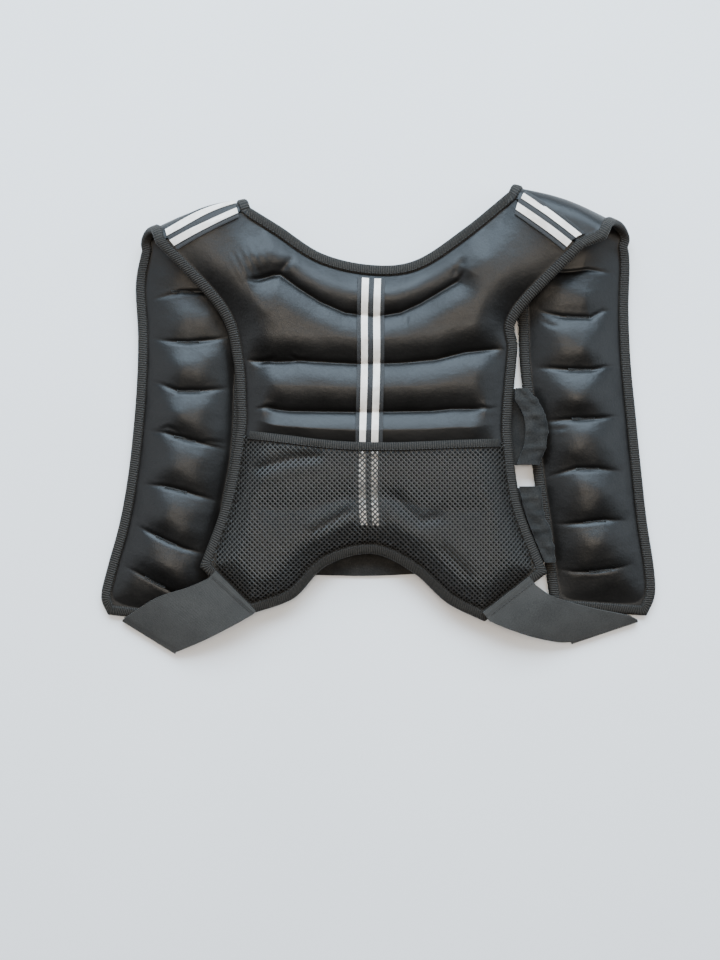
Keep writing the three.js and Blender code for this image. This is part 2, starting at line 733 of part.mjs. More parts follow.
// Share of the way along a bent line where one of its places stands
function shareOfPlace(line, place) {
  let whole = 0;
  let part = 0;
  for (let k = 1; k < line.length; k += 1) {
    whole += line[k][0].distanceTo(line[k - 1][0]);
    part = k <= place ? whole : part;
  }
  return part / whole;
}

// Part of a bent line between two lengths along it, with the corners between them
function partOfLine(line, from, to) {
  const lengths = [0];
  for (let k = 1; k < line.length; k += 1) {
    lengths.push(lengths[k - 1] + line[k][0].distanceTo(line[k - 1][0]));
  }
  const whole = lengths[lengths.length - 1];
  const between = line.filter((place, k) => lengths[k] > from + 0.5 && lengths[k] < to - 0.5);
  return [alongLine(line, from / whole), ...between, alongLine(line, to / whole)];
}

// A tape with two stripes laid on lines that cross it from edge to edge
function addTape(vest, name, lines, lift, beyond = []) {
  const inner = STRIPE_SPACE / 2;
  const outer = inner + STRIPE_WIDTH;
  const share = (offset) => 0.5 + offset / TAPE_WIDTH;
  const grid = lines.map((line) => {
    const bend = shareOfPlace(line, line.length - 2);
    const last = Math.min(Math.max(bend, 0.7), share(outer) - 0.04);
    const shares = [0, share(-outer), share(-inner), 0.5, share(inner), last, share(outer), ...beyond, 1];
    return shares.map((at) => alongLine(line, at));
  });
  const layer = (height, from, to) =>
    grid.map((line) => line.slice(from, to + 1).map(([p, n]) => p.clone().addScaledVector(n, height)));
  const top = lift + TAPE_THICKNESS;
  const end = 7 + beyond.length;
  vest.add(sheetMesh(`${name}_tape`, layer(top, 0, end), layer(lift, 0, end), finish.tape));
  for (const [label, from, to] of [["first", 1, 2], ["second", 4, 6]]) {
    const low = layer(top + CLEARANCE, from, to);
    const high = layer(top + CLEARANCE + STRIPE_THICKNESS, from, to);
    vest.add(sheetMesh(`${name}_stripe_${label}`, high, low, finish.stripe));
  }
}

// Places along a front panel below the turn: each pad and the line after it
function frontPlaces(side) {
  const rows = FRONT_ROWS[side].length;
  const places = [0.35, 0.7, 0.88];
  for (let k = 1; k < rows - 2; k += 1) {
    places.push(k, k + 0.13, k + 0.5, k + 0.87);
  }
  places.push(rows - 2, rows - 1.6, rows - 1);
  const edge = EDGE_SAMPLES.map((s) => frontPoint(side, s, rows));
  const up = placeAway((back) => frontPoint(side, 0.5, rows - back), edge, FLANGE_WIDTH, 0.5);
  places.push(rows - up, rows);
  return places;
}

const TURN_STEPS = 5;
const frontEdgeStore = {};

// Both long edges of a front panel below the turn
function frontEdges(side) {
  if (!frontEdgeStore[side]) {
    const places = EDGE_SAMPLES.map((t) => t * FRONT_ROWS[side].length);
    frontEdgeStore[side] = {
      arm: places.map((v) => frontPoint(side, 0, v)),
      neck: places.map((v) => frontPoint(side, 1, v)),
    };
  }
  return frontEdgeStore[side];
}

// Rows close beside a tack, which the edge tape passes over
function besideTack(place) {
  const part = place - Math.floor(place);
  return place > 1 && (Math.abs(part - 0.13) < 0.01 || Math.abs(part - 0.87) < 0.01);
}

function frontColumns(side, v) {
  const width = frontPoint(side, 0, v).distanceTo(frontPoint(side, 1, v));
  if (v <= 0) {
    return [0, FLANGE_WIDTH / width, ...STRAP_PLACES, 1 - FLANGE_WIDTH / width, 1];
  }
  const edges = frontEdges(side);
  const arm = placeAway((s) => frontPoint(side, s, v), edges.arm, FLANGE_WIDTH, 0.1);
  const neck = placeAway((s) => frontPoint(side, 1 - s, v), edges.neck, FLANGE_WIDTH, 0.1);
  return [0, arm, ...STRAP_PLACES, 1 - neck, 1];
}

function frontGrid(side) {
  const grid = [];
  const places = [];
  for (let k = 0; k <= TURN_STEPS + 2; k += 1) {
    const columns = frontColumns(side, -1 + k / (TURN_STEPS + 2));
    grid.push(
      columns.map((s) => {
        const at = shoulderAt(side, s);
        const turned = at.lead + Math.PI * at.radius;
        const rest = turned - SHOULDER_TAPE_REACH;
        const early = (k * SHOULDER_TAPE_REACH) / 2;
        const travel = k <= 2 ? early : SHOULDER_TAPE_REACH + (rest * (k - 2)) / TURN_STEPS;
        return shoulderPoint(side, s, travel);
      }),
    );
    places.push(-1 + k / (TURN_STEPS + 2));
  }
  for (const v of frontPlaces(side)) {
    grid.push(frontColumns(side, v).map((s) => frontPoint(side, s, v)));
    places.push(v);
  }
  return { grid, places };
}

// Height of the front padding on its inner face
function frontPadding(side, s, v, distance) {
  const rows = FRONT_ROWS[side];
  const half = EDGE_THICKNESS / 2;
  const centres = [0, ...rows.map((row, k) => k + 1.5)];
  const heights = [SHOULDER_THICKNESS / 2, ...rows.map((row) => row.rise * FRONT_PAD_HEIGHT)];
  const full = v <= 0 ? SHOULDER_THICKNESS / 2 : curveAt(centres, heights, v);
  let dent = 0;
  rows.forEach((row, k) => {
    const near = Math.pow(Math.max(0, 1 - Math.abs(v - k - 1) / 0.42), 2);
    const across = 0.45 + 0.55 * Math.exp(-Math.pow((s - 0.5) / 0.24, 2));
    dent = Math.max(dent, row.tack * near * across);
  });
  const height = Math.max(CHANNEL_FLOOR, full - TACK_DEPTH * dent);
  return blend(half, height, swell(distance, PAD_ROUNDING));
}

function addFront(vest, side, back) {
  const half = EDGE_THICKNESS / 2;
  const { grid, places } = frontGrid(side);
  const last = grid.length - 1;
  const normals = gridNormals(grid);
  const turnRows = TURN_STEPS + 2;
  for (let j = 0; j <= last; j += 1) {
    for (let i = 0; i < grid[j].length; i += 1) {
      if (side === "right") {
        normals[j][i].negate();
      }
      if (j === 0) {
        normals[j][i] = UP.clone();
      }
      if (j >= turnRows) {
        normals[j][i] = UP.clone().negate();
      }
    }
  }
  const edges = [grid.map((line) => line[0]), grid.map((line) => line[line.length - 1]), grid[last]];
  const distance = grid.map((line, j) =>
    line.map((p, i) => {
      const rim = Math.min(i, line.length - 1 - i) < 2;
      return rim ? 0 : Math.min(...edges.map((e) => distanceToLine(p, e)));
    }),
  );
  const shifted = grid.map((line, j) =>
    line.map((p, i) => {
      if (j > 0) {
        return p.clone();
      }
      const away = grid[1][i].clone().sub(p).setZ(0).normalize();
      return p.clone().addScaledVector(away, SEAM_GAP / 2);
    }),
  );
  const outside = offsetGrid(shifted, normals, (j, i) => {
    const full = blend(SHOULDER_THICKNESS / 2, PAD_UNDERSIDE, smoothStep(places[j]));
    return blend(half, full, swell(distance[j][i], PAD_ROUNDING));
  });
  const inside = offsetGrid(shifted, normals, (j, i) => {
    const s = frontColumns(side, places[j])[i];
    return -frontPadding(side, s, places[j], distance[j][i]);
  });
  vest.add(sheetMesh(`front_panel_${side}`, outside, inside, finish.neoprene));

  const edgeRows = grid.map((line, j) => j).filter((j) => j < last - 1 && !besideTack(places[j]));
  const end = grid[0].length - 1;
  const stations = edgeRows.map((j) => [j, 0, j, 1]);
  stations.push([last - 1, 0, last - 1, 1], [last, 0, last - 1, 1]);
  for (let i = 2; i < end - 1; i += 1) {
    stations.push([last, i, last - 1, i]);
  }
  stations.push([last, end, last - 1, end - 1], [last - 1, end, last - 1, end - 1]);
  stations.push(...edgeRows.toReversed().map((j) => [j, end, j, end - 1]));
  drawnBack(stations[0]);
  drawnBack(stations[stations.length - 1]);
  const rings = foldedRings(grid, normals, stations, FLANGE_WIDTH, half, BINDING_WIDTH);
  vest.add(foldedMesh(`binding_front_${side}`, rings, finish.binding));

  const lines = [];
  const inner = grid[0].length - 3;
  for (let i = 1; i <= inner + 1; i += 1) {
    const b = side === "left" ? i : back.columns - 1 - i;
    const line = [back.top - 1, back.top].map((j) => [back.backTop[j][b], back.normals[j][b]]);
    line.push(...[0, 1, 2, 3, 4, 5].map((j) => [outside[j][i], normals[j][i]]));
    const slide = (SHOULDERS[side].tapeLean * (i - 1)) / inner;
    lines.push(partOfLine(line, slide, slide + TAPE_WIDTH));
  }
  addTape(vest, `shoulder_${side}`, lines, SHOULDER_TAPE_LIFT, side === "left" ? [0.93] : []);
  return { grid, places };
}

// Elastic side strap: over the lower corner, folded under, back to the front panel
function addSideStrap(vest, side) {
  const rows = SIDE_STRAPS[side];
  const points = rows.map((row) => [
    plan(row.upper, row.z * REST_HEIGHT),
    plan(row.lower, row.z * REST_HEIGHT),
  ]);
  const places = rows.map((row, k) => k);
  const lines = [];
  for (let v = 0; v <= rows.length - 1; v += 0.5) {
    lines.push(
      [0, 1].map(
        (e) =>
          new THREE.Vector3(
            curveAt(places, points.map((p) => p[e].x), v),
            curveAt(places, points.map((p) => p[e].y), v),
            curveAt(places, points.map((p) => p[e].z), v),
          ),
      ),
    );
  }
  const fold = points[points.length - 1];
  const before = points[points.length - 2];
  const low = ELASTIC_THICKNESS / 2 + CLEARANCE;
  const crease = fold[1].clone().sub(fold[0]).normalize();
  const out = fold[0].clone().sub(before[0]).setZ(0);
  out.addScaledVector(crease, -out.dot(crease)).normalize();
  lines.push(fold.map((p) => p.clone().addScaledVector(out, CREASE_RADIUS).setZ((p.z + low) / 2)));
  lines.push(fold.map((p) => p.clone().setZ(low)));
  const end = FRONT_ROWS[side].length;
  const wall = BINDING_CLEARANCE + BINDING_WALL + 3 * CLEARANCE;
  lines.push(
    SIDE_STRAP_ENDS.map((s) => {
      const p = frontPoint(side, s, end);
      const away = p.clone().sub(frontPoint(side, s, end - 0.1)).setZ(0).normalize();
      return p.addScaledVector(away, wall).setZ(low);
    }),
  );
  const grid = lines.map((line) => [0, 0.33, 0.67, 1].map((t) => mix(line[0], line[1], t)));
  const normals = gridNormals(grid);
  const upper = offsetGrid(grid, normals, () => ELASTIC_THICKNESS / 2);
  const lower = offsetGrid(grid, normals, () => -ELASTIC_THICKNESS / 2);
  vest.add(sheetMesh(`side_strap_${side}`, upper, lower, finish.elastic));
}

// Wide closure strap: flat below the back panel, its free end rolled back on itself
function addClosureStrap(vest, name, fronts) {
  const strap = CLOSURE_STRAPS[name];
  const floor = CLOSURE_THICKNESS / 2 + CLEARANCE;
  const grid = [0, 0.2, 0.4, 0.6, 0.8, 1].map((w) => {
    const reach = curveAt([0, 0.33, 0.67, 1], strap.reach, w) * VEST_WIDTH;
    const centre = reach - ROLL_RADIUS - CLOSURE_THICKNESS / 2;
    const yAt = (x) => {
      const t = Math.min(1, Math.max(0, 0.5 + x / (0.6 * VEST_WIDTH)));
      return curveAt([0, 0.5, 1], strap.middle, t) * VEST_LENGTH + (0.5 - w) * CLOSURE_WIDTH;
    };
    const climbAt = (x) => smoothStep((x / VEST_WIDTH - 0.19) / 0.065);
    const heightAt = (x) => blend(floor, CLOSURE_CLIMB, climbAt(x));
    const start = edgeAt(fronts.left, yAt(-0.24 * VEST_WIDTH)) + BINDING_WALL + 3 * CLEARANCE;
    const line = [start, ...[-0.06, 0.08, 0.19, 0.215, 0.24].map((share) => share * VEST_WIDTH)]
      .filter((x) => x < centre - 3)
      .map((x) => new THREE.Vector3(x, yAt(x), heightAt(x)));
    while (line.length < 6) {
      line.push(mix(line[line.length - 1], new THREE.Vector3(centre, yAt(centre), CLOSURE_CLIMB), 0.5));
    }
    for (const angle of [0, 0.25, 0.5, 0.75, 1]) {
      const x = centre + ROLL_RADIUS * Math.sin(angle * Math.PI);
      const z = CLOSURE_CLIMB + ROLL_RADIUS * (1 - Math.cos(angle * Math.PI));
      line.push(new THREE.Vector3(x, yAt(centre), z));
    }
    const stop = backEdgeAt(yAt(centre)) + BINDING_WALL + 6 * CLEARANCE;
    const tail = line[line.length - 1].clone();
    tail.x = Math.min(tail.x - 1, Math.max(stop, tail.x - CLOSURE_TAIL));
    line.push(tail);
    return line;
  });
  const normals = gridNormals(grid);
  const upper = offsetGrid(grid, normals, () => CLOSURE_THICKNESS / 2);
  const lower = offsetGrid(grid, normals, () => -CLOSURE_THICKNESS / 2);
  vest.add(sheetMesh(`closure_strap_${name}`, upper, lower, finish.closure));
}

// Where the neck-side edge of a front panel stands at a height on the plan
function edgeAt(front, y) {
  const line = front.grid.map((row) => row[row.length - 1]).slice(TURN_STEPS + 2);
  for (let k = 0; k < line.length - 1; k += 1) {
    if ((line[k].y - y) * (line[k + 1].y - y) <= 0) {
      const t = (y - line[k].y) / (line[k + 1].y - line[k].y);
      return blend(line[k].x, line[k + 1].x, t);
    }
  }
  return line[line.length - 1].x;
}

// Where the right edge of the back panel stands at a height on the plan
function backEdgeAt(y) {
  let x = 0;
  for (let v = 0; v < 0.9; v += 0.02) {
    const a = backPoint(1, v);
    const b = backPoint(1, v + 0.02);
    if ((a.y - y) * (b.y - y) <= 0) {
      x = Math.max(x, blend(a.x, b.x, (y - a.y) / (b.y - a.y)));
    }
  }
  return x;
}

export default build();
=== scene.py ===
"""Weighted vest lying flat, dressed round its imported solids.

Plan sizes are in millimetres as in the solids' source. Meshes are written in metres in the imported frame.
"""

import logging
import math
from collections.abc import Callable
from dataclasses import dataclass, field
from enum import Enum

import bpy
import numpy as np
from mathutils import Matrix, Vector


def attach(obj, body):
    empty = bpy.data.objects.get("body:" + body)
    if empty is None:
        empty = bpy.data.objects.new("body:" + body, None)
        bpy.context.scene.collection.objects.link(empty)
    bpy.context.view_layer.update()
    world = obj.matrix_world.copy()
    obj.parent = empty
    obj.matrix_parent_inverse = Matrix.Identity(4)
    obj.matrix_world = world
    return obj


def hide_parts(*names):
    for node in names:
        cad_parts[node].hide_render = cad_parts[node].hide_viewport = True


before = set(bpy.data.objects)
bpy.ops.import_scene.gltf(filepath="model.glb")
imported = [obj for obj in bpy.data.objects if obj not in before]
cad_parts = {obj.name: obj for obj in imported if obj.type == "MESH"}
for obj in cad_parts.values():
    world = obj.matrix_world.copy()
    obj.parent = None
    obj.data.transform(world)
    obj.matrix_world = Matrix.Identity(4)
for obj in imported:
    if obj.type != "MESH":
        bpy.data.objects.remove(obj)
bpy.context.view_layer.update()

LOG = logging.getLogger("weighted_vest")
Array = np.ndarray
Pair = tuple[float, float]
Triple = tuple[float, float, float]
Material = bpy.types.Material
Socket = bpy.types.NodeSocket
Value = Socket | float
Path = Callable[[Array], Array]
Surface = Callable[[Array, Array], Array]
FaceAt = Callable[[Array], tuple[Array, Array]]

PLAN_MIDDLE = np.array([0.568, -2.835, 0.0])
UP = np.array([0.0, 0.0, 1.0])


class Side(Enum):
    """The two sides of the vest as seen from above."""

    LEFT = "left"
    RIGHT = "right"


@dataclass(frozen=True)
class Sizes:
    """Driving sizes of the vest, in millimetres."""

    width: float = 520.0
    length: float = 434.0
    rest_height: float = 36.0
    shoulder_thickness: float = 11.0
    edge_thickness: float = 2.8
    flange: float = 10.5
    rounding: float = 30.0
    rounding_start: float = 8.4
    front_underside: float = 3.3
    back_underside: float = 3.0
    front_pad: float = 17.5
    back_pad: float = 11.5
    seam_gap: float = 0.8
    binding_width: float = 9.6
    binding_wall: float = 1.2
    binding_clearance: float = 0.6
    clearance: float = 0.3
    channel_width: float = 25.0
    channel_floor: float = 3.0
    channel_fade: float = 22.0
    tack_depth: float = 6.7
    tack_reach: float = 23.0
    front_rounding: float = 40.0
    tape_width: float = 25.4
    tape_thickness: float = 1.2
    stripe_width: float = 6.2
    stripe_space: float = 5.2
    stripe_thickness: float = 0.5
    tape_lift: float = 1.2
    mesh_lift: float = 18.6
    mesh_slope: float = 20.0
    mesh_thickness: float = 1.4
    hem_width: float = 8.5
    elastic_thickness: float = 1.8
    crease_radius: float = 2.0
    closure_thickness: float = 2.2
    closure_width: float = 72.0
    roll_radius: float = 4.2
    closure_climb: float = 8.8
    closure_tail: float = 16.0

    @property
    def half_edge(self) -> float:
        """Half of the thickness of a bound edge."""
        return self.edge_thickness / 2

    @property
    def skin(self) -> float:
        """Height of the binding's outer face over the middle of the edge."""
        return self.half_edge + self.binding_clearance + self.binding_wall


SIZES = Sizes()
PLAN_SCALE = np.array([SIZES.width, SIZES.length])


# Curves and distances


def smooth_step(t: Array) -> Array:
    """Eases from 0 to 1: t squared times (3 - 2t), held outside 0 to 1."""
    u = np.clip(t, 0.0, 1.0)
    return u * u * (3 - 2 * u)


def blend(a: Array, b: Array, t: Array) -> Array:
    """Straight blend from a at t 0 to b at t 1."""
    return a + (b - a) * t


def unit(vectors: Array) -> Array:
    """The same vectors at length 1."""
    return vectors / np.maximum(np.linalg.norm(vectors, axis=-1, keepdims=True), 1e-9)


def rows_at(table: Array, index: Array) -> Array:
    """The table's rows at index: a number each, or an array like index of which each place is taken."""
    return table[index] if table.ndim == 1 else np.take_along_axis(table, index[None], 0)[0]


def curve_at(places: Array, values: Array, t: Array) -> Array:
    """A smooth curve through values: a cubic between places, with the slope of each place's neighbours.

    Args:
        places: rising places of the values.
        values: one value per place, or one array like t per place.
        t: where the curve is read.

    Returns:
        The curve's values, shaped like t.
    """
    places = np.asarray(places, float)
    values = np.asarray(values, float)
    t = np.asarray(t, float)
    last = len(places) - 1
    before = np.maximum(np.arange(last + 1) - 1, 0)
    after = np.minimum(np.arange(last + 1) + 1, last)
    gaps = (places[after] - places[before]).reshape((-1,) + (1,) * (values.ndim - 1))
    slopes = (values[after] - values[before]) / gaps
    k = np.searchsorted(places[1:-1], t, side="left")
    step = places[k + 1] - places[k]
    q = (t - places[k]) / step
    stay = (1 + 2 * q) * (1 - q) ** 2
    leave = q * (1 - q) ** 2 * step
    arrive = q * q * (q - 1) * step
    return (
        stay * rows_at(values, k)
        + (1 - stay) * rows_at(values, k + 1)
        + leave * rows_at(slopes, k)
        + arrive * rows_at(slopes, k + 1)
    )


def cornered(places: Array, values: Array, s: Array) -> Array:
    """A smooth curve with corners at its second and second last places, and straight outside them.

    Args:
        places: rising places of the values, from 0 to 1.
        values: one value per place.
        s: where the curve is read.

    Returns:
        The curve's values, shaped like s.
    """
    places = np.asarray(places, float)
    values = np.asarray(values, float)
    inner = curve_at(places[1:-1], values[1:-1], np.clip(s, places[1], places[-2]))
    low = blend(values[0], values[1], s / places[1])
    high = blend(values[-2], values[-1], (s - places[-2]) / (1 - places[-2]))
    return np.where(s <= places[1], low, np.where(s >= places[-2], high, inner))


def distance_to_line(points: Array, line: Array) -> tuple[Array, Array]:
    """Shortest distance from points to a bent line, and how far along the line that is.

    Args:
        points: places, one per row.
        line: corners of the bent line, one per row.

    Returns:
        The distances, and the lengths along the line.
    """
    best = np.full(len(points), np.inf)
    along = np.zeros(len(points))
    start = 0.0
    for a, b in zip(line[:-1], line[1:]):
        span = b - a
        length = max(float(np.linalg.norm(span)), 1e-9)
        t = np.clip((points - a) @ span / length**2, 0, 1)
        away = np.linalg.norm(points - a - t[:, None] * span, axis=1)
        closer = away < best
        best = np.where(closer, away, best)
        along = np.where(closer, start + t * length, along)
        start += length
    return best, along


def nearest_edge(
    points: Array, edges: tuple[Array, ...], softness: float = 5.0, onset: float = 12.0
) -> Array:
    """Distance to the nearest of several edges, rounded where two are as near.

    The softness times the log of the sum of exp(-distance / softness), turned over.

    Args:
        points: places, one per row.
        edges: bent lines, each with a corner per row.
        softness: how far in millimetres the rounding reaches.
        onset: distance from the edges at which the rounding is whole.

    Returns:
        One distance per point.
    """
    away = np.stack([distance_to_line(points, edge)[0] for edge in edges])
    least = away.min(0)
    return least - softness * np.log(np.exp((least - away) / softness).sum(0)) * smooth_step(least / onset)


def lengths_along(line: Array) -> Array:
    """Length along a bent line at each of its corners."""
    steps = np.linalg.norm(np.diff(line, axis=0), axis=1)
    return np.concatenate([[0.0], np.cumsum(steps)])


def read_at(table: Array, lengths: Array, want: Array) -> Array:
    """Rows of a table read at wanted lengths, by straight blends."""
    return np.stack([np.interp(want, lengths, column) for column in table.T], 1)


def spaced(line: Array, step: float, *others: Array) -> list[Array]:
    """A bent line and arrays that go with it, read again at even steps of its length.

    Args:
        line: corners of the bent line, one per row.
        step: wanted space between the new corners.
        others: arrays with a row for each corner.

    Returns:
        The line and the other arrays, with a row for each new corner.
    """
    lengths = lengths_along(line)
    count = max(2, int(round(lengths[-1] / step)) + 1)
    want = np.linspace(0, lengths[-1], count)
    return [read_at(table, lengths, want) for table in (line, *others)]


def grid_normals(grid: Array) -> Array:
    """Unit normals of a grid of points: the cross product of its steps across and along.

    Args:
        grid: points, as rows by columns by 3.

    Returns:
        One unit vector per point.
    """
    across = np.gradient(grid, axis=1)
    along = np.gradient(grid, axis=0)
    return unit(np.cross(across, along))


def place_away(point_at: Path, edge: Array, reach: float, like: Array, first: float) -> Array:
    """Places where paths that leave an edge have gone the reach away from it, by rounds of rule of three.

    Args:
        point_at: gives the paths' points at a place each.
        edge: corners of the edge, one per row.
        reach: wanted distance from the edge.
        like: an array with one value per path.
        first: place that the rounds start from.

    Returns:
        One place per path.
    """
    place = np.full(len(like), first)
    for _ in range(5):
        away, _ = distance_to_line(point_at(place), edge)
        place = place * reach / np.maximum(1.0, away)
    return place


def flange_places(surface_at: Surface, edge: Array, v: Array, far: bool, first: float) -> Array:
    """Places across where the flange of a long edge ends.

    Args:
        surface_at: gives the middle surface's points at places across and along.
        edge: corners of the edge, one per row.
        v: places along.
        far: whether the edge is the one at place across 1.
        first: place from the edge that the search starts from.

    Returns:
        One place across for each place along.
    """

    def point_at(inset: Array) -> Array:
        """Points at an inset from the edge's own place across."""
        return surface_at(1 - inset if far else inset, v)

    found = place_away(point_at, edge, SIZES.flange, v, first)
    return 1 - found if far else found


def swell(distance: Array, rounding: float) -> Array:
    """Share of the full padding at a distance from a bound edge: a quarter sine over the rounding."""
    beyond = np.maximum(0, distance - SIZES.rounding_start)
    return np.sin(math.pi / 2 * np.minimum(1, beyond / rounding))


def weave_lengths(along: Array, across: Array) -> Array:
    """A grid of lengths along and across a band, in millimetres."""
    return np.stack(np.broadcast_arrays(along[:, None], across[None, :]), -1)


# Sculpted marks in the padding


def offsets_from(plan: Array, middle: Pair, turn: float) -> tuple[Array, Array]:
    """Offsets of places from a middle, along and across a direction.

    Args:
        plan: places on the plan, one per row.
        middle: the middle's place on the plan.
        turn: the direction, in degrees from the plan's x.

    Returns:
        The offsets along the direction, and those across it.
    """
    angle = math.radians(turn)
    dx = plan[:, 0] - middle[0]
    dy = plan[:, 1] - middle[1]
    along = dx * math.cos(angle) + dy * math.sin(angle)
    across = -dx * math.sin(angle) + dy * math.cos(angle)
    return along, across


@dataclass(frozen=True)
class Crease:
    """A sewn or pressed line in the padding, in plan millimetres.

    The height falls by depth times exp(-(distance / width) squared) and rises beside it by the lip.
    """

    line: tuple[tuple[float, float], ...]
    depth: float = 1.6
    width: float = 1.9
    lip: float = 0.35
    fade: float = 0.18

    def height(self, plan: Array) -> Array:
        """Change of height at places on the plan.

        Args:
            plan: places, one per row.

        Returns:
            One change of height per place.
        """
        line = np.array(self.line, float)
        away, along = distance_to_line(plan, line)
        whole = lengths_along(line)[-1]
        share = np.minimum(along, whole - along) / whole
        ends = smooth_step(share / self.fade) if self.fade > 0 else 1.0
        dip = self.depth * np.exp(-((away / self.width) ** 2))
        rise = self.lip * np.exp(-(((away - 2.6 * self.width) / (1.5 * self.width)) ** 2))
        return (rise - dip) * ends


@dataclass(frozen=True)
class Dent:
    """A soft round dent, or a bulge where depth is below 0: depth times exp(-(distance in radii) squared)."""

    x: float
    y: float
    radius_x: float
    radius_y: float
    depth: float
    turn: float = 0.0

    def height(self, plan: Array) -> Array:
        """Change of height at places on the plan.

        Args:
            plan: places, one per row.

        Returns:
            One change of height per place.
        """
        along, across = offsets_from(plan, (self.x, self.y), self.turn)
        a, b = along / self.radius_x, across / self.radius_y
        return -self.depth * np.exp(-(a * a) - b * b)


@dataclass(frozen=True)
class Ripples:
    """Close parallel ripples that fade out round a middle: a cosine across them times a round fade."""

    x: float
    y: float
    along: float
    across: float
    pitch: float
    height_mm: float
    turn: float

    def height(self, plan: Array) -> Array:
        """Change of height at places on the plan.

        Args:
            plan: places, one per row.

        Returns:
            One change of height per place.
        """
        a, b = offsets_from(plan, (self.x, self.y), self.turn)
        fade = np.exp(-((a / self.along) ** 4) - (b / self.across) ** 4)
        return self.height_mm * np.cos(2 * math.pi * b / self.pitch) * fade


def slow_waves(plan: Array, seed: int, height: float, size: float, count: int = 9) -> Array:
    """Slow unevenness of hand-filled padding: a sum of sine waves of random pitch, phase and direction.

    Args:
        plan: places on the plan, one per row.
        seed: seed of the random draws.
        height: about the height of the unevenness.
        size: about the pitch of the waves.
        count: how many waves are added.

    Returns:
        One change of height per place.
    """
    random = np.random.default_rng(seed)
    total = np.zeros(len(plan))
    for _ in range(count):
        angle = random.uniform(0, 2 * math.pi)
        pitch = size * random.uniform(0.7, 1.6)
        phase = random.uniform(0, 2 * math.pi)
        direction = np.array([math.cos(angle), math.sin(angle)])
        total += np.sin(plan @ direction * 2 * math.pi / pitch + phase)
    return height * total / math.sqrt(count)


# Finishes


@dataclass
class Recipe:
    """The node tree of one material."""

    name: str
    material: Material = field(init=False)
    shader: bpy.types.Node = field(init=False)

    def __post_init__(self) -> None:
        """Starts an empty tree with one shader and its output."""
        self.material = bpy.data.materials.new(self.name)
        self.material.use_nodes = True
        tree = self.material.node_tree
        tree.nodes.clear()
        out = tree.nodes.new("ShaderNodeOutputMaterial")
        self.shader = tree.nodes.new("ShaderNodeBsdfPrincipled")
        tree.links.new(self.shader.outputs[0], out.inputs[0])

    def fill(self, node: bpy.types.Node, inputs: dict) -> None:
        """Sets a node's inputs, and links those that are given as sockets.

        Args:
            node: the node.
            inputs: values or sockets by the input's name or number.
        """
        for key, value in inputs.items():
            if isinstance(value, Socket):
                self.material.node_tree.links.new(value, node.inputs[key])
            else:
                node.inputs[key].default_value = value

    def node(self, kind: str, inputs: dict | None = None, **settings) -> bpy.types.Node:
        """Adds a node, sets its properties, and fills or links its inputs.

        Args:
            kind: the node's type.
            inputs: values or sockets by the input's name or number.
            settings: properties of the node.

        Returns:
            The node.
        """
        made = self.material.node_tree.nodes.new(kind)
        for key, value in settings.items():
            setattr(made, key, value)
        self.fill(made, inputs or {})
        return made

    def math(self, operation: str, a: Value, b: Value = 0.0) -> Socket:
        """One sum of one or two values or sockets."""
        return self.node("ShaderNodeMath", {0: a, 1: b}, operation=operation).outputs[0]

    def noise(self, scale: float, detail: float = 2.0) -> Socket:
        """Noise of the given scale on the object's own coordinates."""
        vector = self.node("ShaderNodeTexCoord").outputs["Object"]
        inputs = {"Vector": vector, "Scale": scale, "Detail": detail}
        return self.node("ShaderNodeTexNoise", inputs).outputs[0]

    def ramp(self, value: Socket, low: Triple, high: Triple, start: float = 0.3, stop: float = 0.7) -> Socket:
        """A colour that goes from low to high as the value goes from start to stop.

        Args:
            value: the value that picks the colour.
            low: colour at the start.
            high: colour at the stop.
            start: value up to which the colour is low.
            stop: value from which the colour is high.

        Returns:
            The colour's socket.
        """
        made = self.node("ShaderNodeValToRGB", {0: value})
        made.color_ramp.elements[0].position = start
        made.color_ramp.elements[1].position = stop
        made.color_ramp.elements[0].color = (*low, 1)
        made.color_ramp.elements[1].color = (*high, 1)
        return made.outputs[0]

    def span(self, value: Socket, low: float, high: float) -> Socket:
        """A value from 0.3 to 0.7 spread over low to high."""
        inputs = {0: value, 1: 0.3, 2: 0.7, 3: low, 4: high}
        return self.node("ShaderNodeMapRange", inputs).outputs[0]

    def uv(self, across: bool) -> Socket:
        """The piece's own length along (or across) it, in metres."""
        found = self.node("ShaderNodeUVMap", uv_map="weave").outputs[0]
        return self.node("ShaderNodeSeparateXYZ", {0: found}).outputs[1 if across else 0]

    def rib(self, value: Socket, pitch_mm: float) -> Socket:
        """Ribs of the given pitch: the sine of the length, from -1 to 1."""
        return self.math("SINE", self.math("MULTIPLY", value, 2 * math.pi / (pitch_mm / 1000)))

    def relief(self, height: Socket, millimetres: float, strength: float, under: Value = 0.0) -> Socket:
        """Bump of the given height.

        Args:
            height: the height, as a share of the full one.
            millimetres: the full height.
            strength: share of the bump that shows.
            under: normals of a bump that it lies on, or 0 for none.

        Returns:
            The normals' socket.
        """
        inputs = {"Height": height, "Distance": millimetres / 1000, "Strength": strength}
        if under:
            inputs["Normal"] = under
        return self.node("ShaderNodeBump", inputs).outputs[0]

    def finish(
        self,
        colour: Socket,
        roughness: Value,
        normal: Socket | None = None,
        sheen: float = 0.0,
        specular: float = 0.5,
    ) -> Material:
        """Links what varies to the shader, sets the rest on its own sockets, and gives the material.

        Args:
            colour: the base colour.
            roughness: the roughness.
            normal: normals of the relief, if it has any.
            sheen: weight of the soft sheen of fibres.
            specular: level of the reflection.

        Returns:
            The material.
        """
        inputs = {"Base Color": colour, "Roughness": roughness, "Specular IOR Level": specular}
        inputs |= {"Sheen Weight": sheen, "Sheen Roughness": 0.4}
        if normal:
            inputs["Normal"] = normal
        self.fill(self.shader, inputs)
        return self.material


